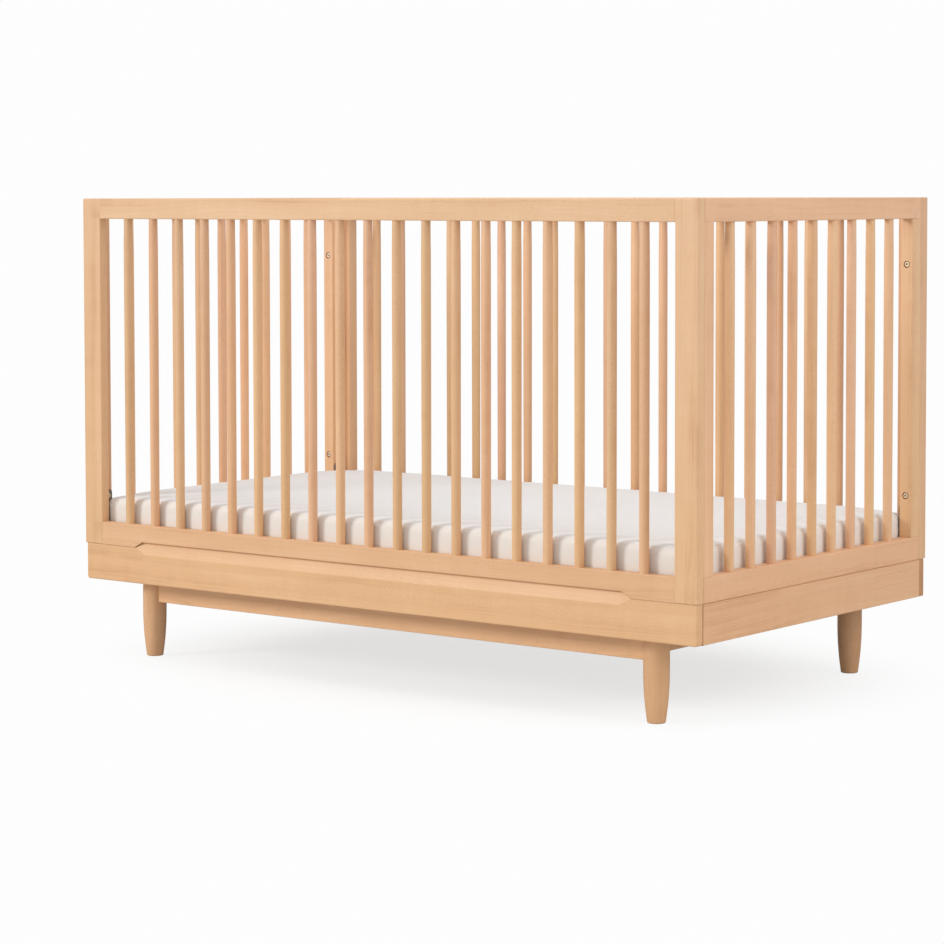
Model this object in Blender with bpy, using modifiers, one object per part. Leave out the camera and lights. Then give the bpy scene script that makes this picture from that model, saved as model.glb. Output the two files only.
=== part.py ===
"""Baby crib (cot) with four spindle sides on a low base box and four turned feet.

Metres, +Z up, origin on the floor under the middle of the crib.
X runs along the length, -Y is the front long side.
Every touching pair of pieces keeps a gap of about 0.3 mm.
"""

import math

import bmesh
import bpy
from mathutils import Matrix, Vector

# ---------------------------------------------------------------- dimensions
LENGTH = 1.390  # outside, along X
WIDTH = 0.750  # outside, along Y
HEIGHT = 0.866  # floor to the top of the side frames
GAP = 0.0003  # clearance between touching pieces

FOOT_H = 0.144  # floor to the underside of the base box
BASE_TOP = 0.212  # top edge of the base box at its ends
BASE_T = 0.018  # thickness of the base panels
BASE_INSET = 0.002  # the base box stands this far inside the frames

FRONT_T = 0.019  # thickness of the front frame
BACK_T = 0.026  # thickness of the back frame
END_T = 0.024  # thickness of the end frames
STILE_W = 0.045  # width of the long frames' uprights
POST_W = 0.028  # width of the end frames' uprights
TOP_RAIL_H = 0.0383
BOTTOM_RAIL_H = 0.0425

SPINDLE_R = 0.0086
SPINDLE_NECK_R = 0.0080  # where it meets a rail
SPINDLE_PITCH = 0.065
LONG_SPINDLES = 19
END_SPINDLES = 9
TENON_R = 0.0032
GROOVE_W, GROOVE_D = 0.0090, 0.0060
STRIP_W, STRIP_H = 0.0082, 0.0046

LIP_RISE = 0.0105  # the middle of the front base panel rises into the rail
LIP_HALF_TOP, LIP_HALF_FOOT = 0.546, 0.563
BEVEL_H = 0.0125  # the long stopped chamfer reaches this far below the seam
BEVEL_DEEP = 0.0055

FOOT_X, FOOT_Y = 0.574, 0.313  # axes of the feet
FOOT_R = 0.02225
UNDER_RAIL_H = 0.0405
CROSS_RAIL_H = 0.0270
UNDER_RAIL_T = 0.020
BLOCK_TOP = 0.1570

BOLT_BELOW_TOP = 0.120
BOLT_ABOVE_SEAM = 0.118
BOLT_R, BOLT_HEAD_R, BOLT_HEAD_H = 0.0030, 0.0050, 0.0040
COUNTERBORE = 0.0048

SUPPORT_Z0, SUPPORT_H = 0.1608, 0.0200
SUPPORT_X, SUPPORT_RAIL_W = 0.664, 0.040
SLAT_W, SLAT_T, SLATS = 0.110, 0.012, 6
STRAP_T, STRAP_W, STRAP_TOP = 0.0022, 0.024, 0.312
STRAP_HOLE_Z = 0.300

MATTRESS_X, MATTRESS_Y = 1.320, 0.700
MATTRESS_TOP = 0.302
SHEET_T = 0.0012
EDGE = 0.0016  # eased edges of the timber

# ---------------------------------------------------------------- derived
HX, HY = LENGTH / 2, WIDTH / 2
FRAME_Z0 = BASE_TOP + GAP
BOTTOM_RAIL_TOP = FRAME_Z0 + BOTTOM_RAIL_H
TOP_RAIL_Z0 = HEIGHT - TOP_RAIL_H
IN_FRONT, IN_BACK = -HY + FRONT_T, HY - BACK_T  # inner faces of the long frames
MID_Y = (IN_FRONT + IN_BACK) / 2
IN_END = HX - END_T
BASE_X, BASE_Y = HX - BASE_INSET, HY - BASE_INSET
MATTRESS_Z0 = SUPPORT_Z0 + SUPPORT_H + GAP

# ---------------------------------------------------------------- scene
for old in list(bpy.data.objects):
    bpy.data.objects.remove(old, do_unlink=True)

parts = bpy.data.collections.new("baby_crib")
cutters = bpy.data.collections.new("cutters")
bpy.context.scene.collection.children.link(parts)
bpy.context.scene.collection.children.link(cutters)

BEECH = (0.74, 0.50, 0.29, 1.0)
BEECH_END = (0.70, 0.46, 0.26, 1.0)
TURNED = (0.72, 0.48, 0.28, 1.0)
PINE = (0.78, 0.60, 0.38, 1.0)
STEEL = (0.55, 0.55, 0.56, 1.0)
COTTON = (0.83, 0.79, 0.74, 1.0)
FOAM = (0.86, 0.82, 0.70, 1.0)


def material(name, colour, roughness=0.45, metallic=0.0):
    mat = bpy.data.materials.new(name)
    mat.use_nodes = True
    shader = mat.node_tree.nodes["Principled BSDF"]
    shader.inputs["Base Color"].default_value = colour
    shader.inputs["Roughness"].default_value = roughness
    shader.inputs["Metallic"].default_value = metallic
    mat.diffuse_color = colour
    return mat


def empty(name, location):
    node = bpy.data.objects.new(name, None)
    node.location = location
    node.empty_display_size = 0.1
    parts.objects.link(node)
    return node


frame_root = empty("crib_frame_origin", (0, 0, 0))
support_axis = empty("mattress_support_axis", (0, MID_Y, SUPPORT_Z0))
mattress_axis = empty("mattress_axis", (0, MID_Y, MATTRESS_Z0))
support_axis.parent = frame_root
mattress_axis.parent = support_axis
mattress_axis.location = Vector((0, MID_Y, MATTRESS_Z0)) - support_axis.location


def add(name, mesh, where=(0, 0, 0), turn=(0, 0, 0), colour=None, parent=None,
        roughness=0.45, metallic=0.0, cutter=False):
    obj = bpy.data.objects.new(name, mesh)
    obj.location = where
    obj.rotation_euler = turn
    if cutter:
        cutters.objects.link(obj)
        obj.hide_render = True
        obj.display_type = "WIRE"
        return obj
    parts.objects.link(obj)
    mesh.materials.append(material(name + "_finish", colour, roughness, metallic))
    if parent is not None:
        obj.parent = parent
        origin = Vector((0, 0, 0))
        up = parent
        while up is not None:
            origin += up.location
            up = up.parent
        obj.location = Vector(where) - origin
    return obj


def box_mesh(name, size):
    bm = bmesh.new()
    bmesh.ops.create_cube(bm, size=1.0)
    bmesh.ops.scale(bm, vec=Vector(size), verts=bm.verts)
    mesh = bpy.data.meshes.new(name)
    bm.to_mesh(mesh)
    bm.free()
    return mesh


def box(name, lo, hi, colour=BEECH, parent=None, ease=EDGE, **more):
    """A timber or plate between two corners, with its long edges eased."""
    lo, hi = Vector(lo), Vector(hi)
    obj = add(name, box_mesh(name, hi - lo), (lo + hi) / 2, colour=colour,
              parent=parent, **more)
    if ease:
        bevel = obj.modifiers.new("eased_edges", "BEVEL")
        bevel.width = ease
        bevel.segments = 1
        bevel.limit_method = "ANGLE"
    return obj


def outline_mesh(name, points, depth):
    """A flat outline in XZ, closed, extruded along Y by depth about its middle."""
    bm = bmesh.new()
    verts = [bm.verts.new((x, -depth / 2, z)) for x, z in points]
    face = bm.faces.new(verts)
    moved = bmesh.ops.extrude_face_region(bm, geom=[face])
    bmesh.ops.translate(
        bm, vec=(0, depth, 0),
        verts=[g for g in moved["geom"] if isinstance(g, bmesh.types.BMVert)])
    bmesh.ops.recalc_face_normals(bm, faces=bm.faces)
    mesh = bpy.data.meshes.new(name)
    bm.to_mesh(mesh)
    bm.free()
    return mesh


def turned(name, profile, steps, where=(0, 0, 0), turn=(0, 0, 0), cutter=False, **more):
    """A profile of (radius, height) points from top to bottom, turned about Z."""
    mesh = bpy.data.meshes.new(name)
    points = [(0.0, 0.0, profile[0][1])]
    points += [(r, 0.0, z) for r, z in profile]
    points += [(0.0, 0.0, profile[-1][1])]
    mesh.from_pydata(points, [(i, i + 1) for i in range(len(points) - 1)], [])
    obj = add(name, mesh, where, turn, cutter=cutter, **more)
    screw = obj.modifiers.new("turned", "SCREW")
    screw.steps = steps
    screw.render_steps = steps
    screw.use_merge_vertices = True
    screw.merge_threshold = 0.00005
    return obj


def cut(obj, cutter, operation="DIFFERENCE"):
    boolean = obj.modifiers.new(operation.lower() + "_" + cutter.name, "BOOLEAN")
    boolean.operation = operation
    boolean.solver = "EXACT"
    boolean.object = cutter
    return boolean


def cutter_box(name, lo, hi):
    lo, hi = Vector(lo), Vector(hi)
    return add(name, box_mesh(name, hi - lo), (lo + hi) / 2, cutter=True)


# ---------------------------------------------------------------- base box
front_outline = [
    (-BASE_X, FOOT_H), (BASE_X, FOOT_H), (BASE_X, BASE_TOP), (LIP_HALF_FOOT, BASE_TOP),
    (LIP_HALF_TOP, BASE_TOP + LIP_RISE), (-LIP_HALF_TOP, BASE_TOP + LIP_RISE),
    (-LIP_HALF_FOOT, BASE_TOP), (-BASE_X, BASE_TOP)]
base_front = add("base_front_panel", outline_mesh("base_front_panel", front_outline, BASE_T),
                 (0, -BASE_Y + BASE_T / 2, 0), colour=BEECH, parent=frame_root)
ease = base_front.modifiers.new("eased_edges", "BEVEL")
ease.width = 0.0012
ease.segments = 1
ease.limit_method = "ANGLE"
ease.angle_limit = math.radians(60)

# The long stopped chamfer: a wedge whose tips meet the seam at both ends.
face_y = -BASE_Y
seam, low = BASE_TOP, BASE_TOP - BEVEL_H
crest = BASE_TOP + LIP_RISE + 0.006
deep_y = face_y + BEVEL_DEEP * (crest - low) / (BASE_TOP + LIP_RISE - low)
deep = Vector((LIP_HALF_TOP - 0.004, deep_y, crest))
tip = Vector((LIP_HALF_FOOT - 0.001, face_y, seam))
heel = Vector((LIP_HALF_FOOT - 0.022, face_y, low))
wedge = bmesh.new()
for side in (-1, 1):
    for point in (deep, tip + (tip - deep) * 0.1, heel + (heel - deep) * 0.1,
                  Vector((LIP_HALF_FOOT + 0.004, face_y - 0.0006, crest))):
        wedge.verts.new((side * point.x, point.y, point.z))
hull = bmesh.ops.convex_hull(wedge, input=wedge.verts)
bmesh.ops.recalc_face_normals(wedge, faces=wedge.faces)
wedge_mesh = bpy.data.meshes.new("lip_chamfer_cutter")
wedge.to_mesh(wedge_mesh)
wedge.free()
cut(base_front, add("lip_chamfer_cutter", wedge_mesh, cutter=True))

box("base_back_panel", (-BASE_X, BASE_Y - BASE_T, FOOT_H), (BASE_X, BASE_Y, BASE_TOP),
    parent=frame_root)
for side, label in ((-1, "left"), (1, "right")):
    x0, x1 = sorted((side * (BASE_X - BASE_T), side * BASE_X))
    box(f"base_{label}_panel", (x0, -BASE_Y + BASE_T + GAP, FOOT_H),
        (x1, BASE_Y - BASE_T - GAP, BASE_TOP), BEECH_END, frame_root)

# ---------------------------------------------------------------- feet and rails below


def foot_profile(grow=0.0, reach=0.0):
    """The foot swells to its belly 95 mm up and narrows to a rounded toe."""
    belly = 0.095
    rows = [(FOOT_R - 0.0007 + grow, FOOT_H + reach)]
    for z in (0.118, 0.095, 0.070, 0.048, 0.028, 0.012, 0.004):
        shrink = 0.32 * max(0.0, 1 - z / belly) ** 2.2
        rows.append((FOOT_R * (1 - shrink) + grow, z))
    rows.append((0.0132 + grow, 0.0 - reach))
    return rows


for sx, lx in ((-1, "left"), (1, "right")):
    for sy, ly in ((-1, "front"), (1, "back")):
        turned(f"foot_{ly}_{lx}", foot_profile(), 20, (sx * FOOT_X, sy * FOOT_Y, 0),
               colour=TURNED, parent=frame_root)
        turned(f"cope_{ly}_{lx}", foot_profile(grow=GAP, reach=0.002), 20,
               (sx * FOOT_X, sy * FOOT_Y, 0), cutter=True)
        x0, x1 = sorted((sx * (FOOT_X - 0.045), sx * (BASE_X - BASE_T - GAP)))
        y0, y1 = sorted((sy * (FOOT_Y - 0.035), sy * (BASE_Y - BASE_T - GAP)))
        box(f"corner_block_{ly}_{lx}", (x0, y0, FOOT_H + GAP), (x1, y1, BLOCK_TOP),
            PINE, frame_root, ease=0)

half_t = UNDER_RAIL_T / 2
for sy, ly in ((-1, "front"), (1, "back")):
    rail = box(f"under_rail_{ly}", (-FOOT_X, sy * FOOT_Y - half_t, FOOT_H - UNDER_RAIL_H),
               (FOOT_X, sy * FOOT_Y + half_t, FOOT_H), parent=frame_root)
    for lx in ("left", "right"):
        cut(rail, bpy.data.objects[f"cope_{ly}_{lx}"])
for sx, lx in ((-1, "left"), (1, "right")):
    rail = box(f"under_rail_{lx}", (sx * FOOT_X - half_t, -FOOT_Y, FOOT_H - CROSS_RAIL_H),
               (sx * FOOT_X + half_t, FOOT_Y, FOOT_H), parent=frame_root)
    for ly in ("front", "back"):
        cut(rail, bpy.data.objects[f"cope_{ly}_{lx}"])

# ---------------------------------------------------------------- bolts


def hex_head_bolt(name, where, turn, length):
    """A socket-head frame bolt: +Z of the profile is the head's face."""
    bolt = turned(name, [(BOLT_HEAD_R - 0.0005, 0), (BOLT_HEAD_R, -0.0005),
                         (BOLT_HEAD_R, -BOLT_HEAD_H), (BOLT_R, -BOLT_HEAD_H),
                         (BOLT_R, -length + 0.001), (BOLT_R - 0.0008, -length)],
                  12, where, turn, colour=STEEL, parent=frame_root, roughness=0.3,
                  metallic=1.0)
    socket = bmesh.new()
    bmesh.ops.create_cone(socket, cap_ends=True, segments=6, radius1=0.0023,
                          radius2=0.0023, depth=0.005)
    mesh = bpy.data.meshes.new(name + "_socket")
    socket.to_mesh(mesh)
    socket.free()
    cut(bolt, add(name + "_socket", mesh, where, turn, cutter=True))
    return bolt


def bolt_hole(name, where, turn, length):
    return turned(name, [(BOLT_HEAD_R + GAP, 0.004), (BOLT_HEAD_R + GAP, -COUNTERBORE),
                         (BOLT_R + GAP, -COUNTERBORE - 0.0001), (BOLT_R + GAP, -length)],
                  12, where, turn, cutter=True)


bolt_cutters = {}
for sx, lx in ((-1, "left"), (1, "right")):
    for sy, ly in ((-1, "front"), (1, "back")):
        inner = IN_FRONT + POST_W if sy < 0 else IN_BACK - POST_W
        depth = POST_W + (0.012 if sy < 0 else 0.016)
        # The head faces the inside of the crib, so its axis points away from the frame.
        turn = (math.radians(-90 if sy < 0 else 90), 0, 0)
        for z, lz in ((HEIGHT - BOLT_BELOW_TOP, "upper"), (BASE_TOP + BOLT_ABOVE_SEAM, "lower")):
            x = sx * (HX - END_T / 2)
            hex_head_bolt(f"frame_bolt_{ly}_{lx}_{lz}", (x, inner + sy * 0.0005, z), turn,
                          depth - 0.0015)
            hole = bolt_hole(f"bolt_hole_{ly}_{lx}_{lz}", (x, inner, z), turn, depth)
            bolt_cutters.setdefault((ly, lx), []).append(hole)

# ---------------------------------------------------------------- side frames


def groove(name, lo, hi):
    return cutter_box(name, lo, hi)


def spindle_profile(length):
    """From the upper tenon down to the lower one; slimmer where it meets the rails."""
    neck = 0.070
    tenon = 0.0040
    return [(TENON_R, length + tenon), (TENON_R, length), (SPINDLE_NECK_R, length),
            (SPINDLE_R, length - neck), (SPINDLE_NECK_R + 0.0002, 0.0),
            (TENON_R, 0.0), (TENON_R, -tenon)]


def spindle_rack(name, count, origin, along, parent):
    """A row of spindles held by a thin strip in each rail's groove."""
    z0, z1 = BOTTOM_RAIL_TOP + GAP, TOP_RAIL_Z0 - GAP
    run = (count - 1) * SPINDLE_PITCH
    first = Vector(origin) - along * run / 2 + Vector((0, 0, z0))
    turning = turned(name + "_turning", spindle_profile(z1 - z0), 10, first, cutter=True)
    row = turning.modifiers.new("row", "ARRAY")
    row.count = count
    row.use_relative_offset = False
    row.use_constant_offset = True
    row.constant_offset_displace = along * SPINDLE_PITCH
    half = along * (run / 2 + 0.006)
    side = Vector((along.y, along.x, 0)) * (STRIP_W / 2)
    bm = bmesh.new()
    for low_z, high_z in ((z0 - 0.0007 - STRIP_H, z0 - 0.0007), (z1 + 0.0007, z1 + 0.0007 + STRIP_H)):
        made = bmesh.ops.create_cube(bm, size=1.0)["verts"]
        size = Vector((abs(2 * half.x) + abs(2 * side.x), abs(2 * half.y) + abs(2 * side.y),
                       high_z - low_z))
        bmesh.ops.scale(bm, vec=size, verts=made)
        bmesh.ops.translate(bm, vec=(0, 0, (low_z + high_z) / 2), verts=made)
    mesh = bpy.data.meshes.new(name)
    bm.to_mesh(mesh)
    bm.free()
    rack = add(name, mesh, origin, colour=TURNED, parent=parent)
    cut(rack, turning, "UNION")
    return rack


def grooved_rail(name, lo, hi, along, mid, count, opens_up, colour):
    """A rail with a stopped groove for the spindle strip."""
    rail = box(name, lo, hi, colour, frame_root)
    half = ((count - 1) * SPINDLE_PITCH) / 2 + 0.0068
    across = Vector((along.y, along.x, 0)) * (GROOVE_W / 2)
    z0, z1 = ((hi[2] - GROOVE_D, hi[2] + 0.002) if opens_up else (lo[2] - 0.002, lo[2] + GROOVE_D))
    a = Vector(mid) - along * half - across
    b = Vector(mid) + along * half + across
    cut(rail, groove(name + "_groove", (min(a.x, b.x), min(a.y, b.y), z0),
                     (max(a.x, b.x), max(a.y, b.y), z1)))
    return rail


X_AXIS, Y_AXIS = Vector((1, 0, 0)), Vector((0, 1, 0))
for sy, ly, y0, y1 in ((-1, "front", -HY, IN_FRONT), (1, "back", IN_BACK, HY)):
    mid = (0, (y0 + y1) / 2, 0)
    inner_x = HX - STILE_W - GAP
    grooved_rail(f"{ly}_top_rail", (-inner_x, y0, TOP_RAIL_Z0), (inner_x, y1, HEIGHT),
                 X_AXIS, mid, LONG_SPINDLES, False, BEECH)
    low_rail = grooved_rail(f"{ly}_bottom_rail", (-inner_x, y0, FRAME_Z0),
                            (inner_x, y1, BOTTOM_RAIL_TOP), X_AXIS, mid, LONG_SPINDLES,
                            True, BEECH)
    if ly == "front":
        # The rail is cut away over the raised middle of the base panel.
        rise = BASE_TOP + LIP_RISE + GAP
        notch = [(-LIP_HALF_FOOT - 0.0022, FRAME_Z0 - 0.001),
                 (LIP_HALF_FOOT + 0.0022, FRAME_Z0 - 0.001),
                 (LIP_HALF_TOP + 0.0003, rise), (-LIP_HALF_TOP - 0.0003, rise)]
        cut(low_rail, add("lip_notch_cutter",
                          outline_mesh("lip_notch_cutter", notch, FRONT_T + 0.02),
                          (0, (y0 + y1) / 2, 0), cutter=True))
    for sx, lx in ((-1, "left"), (1, "right")):
        x0, x1 = sorted((sx * (HX - STILE_W), sx * HX))
        stile = box(f"{ly}_{lx}_stile", (x0, y0, FRAME_Z0), (x1, y1, HEIGHT), BEECH, frame_root)
        for hole in bolt_cutters[(ly, lx)]:
            cut(stile, hole)
    spindle_rack(f"{ly}_spindles", LONG_SPINDLES, mid, X_AXIS, frame_root)

for sx, lx in ((-1, "left"), (1, "right")):
    x0, x1 = sorted((sx * IN_END, sx * HX))
    mid = ((x0 + x1) / 2, MID_Y, 0)
    y0, y1 = IN_FRONT + GAP, IN_BACK - GAP
    grooved_rail(f"{lx}_end_top_rail", (x0, y0, TOP_RAIL_Z0), (x1, y1, HEIGHT), Y_AXIS, mid,
                 END_SPINDLES, False, BEECH_END)
    grooved_rail(f"{lx}_end_bottom_rail", (x0, y0, FRAME_Z0), (x1, y1, BOTTOM_RAIL_TOP),
                 Y_AXIS, mid, END_SPINDLES, True, BEECH_END)
    for ly, a, b in (("front", y0, y0 + POST_W), ("back", y1 - POST_W, y1)):
        post = box(f"{lx}_end_{ly}_post", (x0, a, BOTTOM_RAIL_TOP + GAP),
                   (x1, b, TOP_RAIL_Z0 - GAP), BEECH_END, frame_root)
        for hole in bolt_cutters[(ly, lx)]:
            cut(post, hole)
    spindle_rack(f"{lx}_end_spindles", END_SPINDLES, mid, Y_AXIS, frame_root)

# ---------------------------------------------------------------- mattress support
z0, z1 = SUPPORT_Z0, SUPPORT_Z0 + SUPPORT_H
outer_y = MATTRESS_Y / 2 - 0.006
rebate_w = 0.012
ledge = z1 - SLAT_T - GAP
for sy, ly in ((-1, "front"), (1, "back")):
    a, b = sorted((sy * (outer_y - SUPPORT_RAIL_W), sy * outer_y))
    rail = box(f"support_rail_{ly}", (-SUPPORT_X, MID_Y + a, z0), (SUPPORT_X, MID_Y + b, z1),
               PINE, support_axis, ease=0)
    c, d = sorted((sy * (outer_y - SUPPORT_RAIL_W - 0.001), sy * (outer_y - SUPPORT_RAIL_W + rebate_w)))
    cut(rail, cutter_box(f"support_rebate_{ly}", (-SUPPORT_X + SUPPORT_RAIL_W, MID_Y + c, ledge),
                         (SUPPORT_X - SUPPORT_RAIL_W, MID_Y + d, z1 + 0.002)))
in_y = outer_y - SUPPORT_RAIL_W
for sx, lx in ((-1, "left"), (1, "right")):
    a, b = sorted((sx * (SUPPORT_X - SUPPORT_RAIL_W), sx * SUPPORT_X))
    box(f"support_rail_{lx}", (a, MID_Y - in_y + GAP, z0), (b, MID_Y + in_y - GAP, z1),
        PINE, support_axis, ease=0)
step = 2 * (SUPPORT_X - SUPPORT_RAIL_W) / (SLATS + 1)
slat_y = in_y + rebate_w - GAP
for i in range(SLATS):
    x = (i - (SLATS - 1) / 2) * step
    box(f"support_slat_{i + 1}", (x - SLAT_W / 2, MID_Y - slat_y, z1 - SLAT_T),
        (x + SLAT_W / 2, MID_Y + slat_y, z1), PINE, support_axis, ease=0)

# Steel hangers: a strap up the end post's inner face and a flange under the rail.
for sx, lx in ((-1, "left"), (1, "right")):
    for ly, post_mid in (("front", IN_FRONT + POST_W / 2), ("back", IN_BACK - POST_W / 2)):
        face = IN_END - GAP
        toe = SUPPORT_X - 0.034
        low = SUPPORT_Z0 - GAP - STRAP_T
        shape = [(toe, low), (face, low), (face, STRAP_TOP), (face - STRAP_T, STRAP_TOP),
                 (face - STRAP_T, low + STRAP_T), (toe, low + STRAP_T)]
        hanger = add(f"support_hanger_{ly}_{lx}",
                     outline_mesh(f"support_hanger_{ly}_{lx}",
                                  [(sx * x, z) for x, z in shape], STRAP_W),
                     (0, post_mid, 0), colour=STEEL, parent=support_axis, roughness=0.4,
                     metallic=1.0)
        hole = bmesh.new()
        bmesh.ops.create_cone(hole, cap_ends=True, segments=12, radius1=0.0034,
                              radius2=0.0034, depth=0.02)
        mesh = bpy.data.meshes.new(f"hanger_hole_{ly}_{lx}")
        hole.to_mesh(mesh)
        hole.free()
        cut(hanger, add(f"hanger_hole_{ly}_{lx}", mesh, (sx * face, post_mid, STRAP_HOLE_Z),
                        (0, math.radians(90), 0), cutter=True))

# ---------------------------------------------------------------- mattress and sheet


def soft_box(name, size, radius, where, cutter=False, **more):
    obj = add(name, box_mesh(name, size), where, cutter=cutter, **more)
    bevel = obj.modifiers.new("soft_edges", "BEVEL")
    bevel.width = radius
    bevel.segments = 3
    bevel.limit_method = "ANGLE"
    return obj


height = MATTRESS_TOP - MATTRESS_Z0
core_h = height - SHEET_T - GAP
core = (MATTRESS_X - 2 * (SHEET_T + GAP), MATTRESS_Y - 2 * (SHEET_T + GAP), core_h)
soft_box("mattress", core, 0.022, (0, MID_Y, MATTRESS_Z0 + core_h / 2), colour=FOAM,
         parent=mattress_axis, roughness=0.9)
# The sheet is a skirted cover: top and four sides, open underneath.
skirt = 0.030
sheet = soft_box("fitted_sheet", (MATTRESS_X, MATTRESS_Y, height + skirt), 0.0235,
                 (0, MID_Y, MATTRESS_Z0 + (height - skirt) / 2), colour=COTTON,
                 parent=mattress_axis, roughness=0.95)
deep_skirt = skirt + 0.010
inner = soft_box("sheet_inside",
                 (core[0] + 2 * GAP, core[1] + 2 * GAP, core_h + GAP + deep_skirt), 0.0223,
                 (0, MID_Y, MATTRESS_Z0 + (core_h + GAP - deep_skirt) / 2), cutter=True)
cut(sheet, inner)
cut(sheet, cutter_box("sheet_mouth", (-HX, -HY, MATTRESS_Z0 - 0.06), (HX, HY, MATTRESS_Z0)))

for obj in parts.objects:
    if obj.type == "MESH" and any(m.type == "SCREW" for m in obj.modifiers):
        obj.modifiers["turned"].use_smooth_shade = True
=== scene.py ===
"""Looks of a baby crib: fine timber, turned spindles and feet, fittings and a fitted sheet by cloth simulation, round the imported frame.

Metres, +Z up, the frame's own axes: X along the length, -Y the front long side.
"""

import math
import random

import bmesh
import bpy
import numpy as np
from mathutils import Matrix, Vector, noise


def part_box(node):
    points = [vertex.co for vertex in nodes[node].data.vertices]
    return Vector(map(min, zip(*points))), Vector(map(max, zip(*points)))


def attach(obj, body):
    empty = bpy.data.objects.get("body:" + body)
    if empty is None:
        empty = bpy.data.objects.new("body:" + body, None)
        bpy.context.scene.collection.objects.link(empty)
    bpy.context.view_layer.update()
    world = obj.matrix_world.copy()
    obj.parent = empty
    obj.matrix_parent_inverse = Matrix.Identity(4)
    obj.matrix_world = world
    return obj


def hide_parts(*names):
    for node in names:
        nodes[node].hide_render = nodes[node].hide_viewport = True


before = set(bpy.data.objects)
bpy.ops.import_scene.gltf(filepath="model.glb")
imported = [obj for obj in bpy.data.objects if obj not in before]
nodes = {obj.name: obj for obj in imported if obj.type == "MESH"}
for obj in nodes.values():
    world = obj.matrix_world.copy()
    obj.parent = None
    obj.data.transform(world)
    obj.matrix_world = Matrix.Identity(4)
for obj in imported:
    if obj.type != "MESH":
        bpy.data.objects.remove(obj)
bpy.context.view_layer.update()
scene = bpy.context.scene

FRAME, SUPPORT, BED = "crib_frame", "mattress_support", "mattress"
EASE = 0.0019  # eased edges of the side frames
EASE_BASE = 0.0024


def box_of(name):
    low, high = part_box(name)
    return Vector(low), Vector(high)


# ------------------------------------------------------------------ camera
def make_camera():
    yaw, pitch, roll = math.radians(37.853), math.radians(3.0), -0.0017
    forward = Vector((-math.sin(yaw) * math.cos(pitch), math.cos(yaw) * math.cos(pitch),
                      -math.sin(pitch)))
    right = Vector((math.cos(yaw), math.sin(yaw), 0))
    up = right.cross(forward)
    across = math.cos(roll) * right + math.sin(roll) * up
    upward = -math.sin(roll) * right + math.cos(roll) * up
    data = bpy.data.cameras.new("camera")
    data.sensor_width = 36.0
    data.lens = 109.06
    data.shift_y = -0.1359
    data.clip_start, data.clip_end = 0.05, 200
    camera = bpy.data.objects.new("camera", data)
    turn = Matrix((across, upward, -forward)).transposed()
    camera.matrix_world = Matrix.Translation((3.2114, -4.2018, 0.8736)) @ turn.to_4x4()
    scene.collection.objects.link(camera)
    scene.camera = camera


make_camera()


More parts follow.
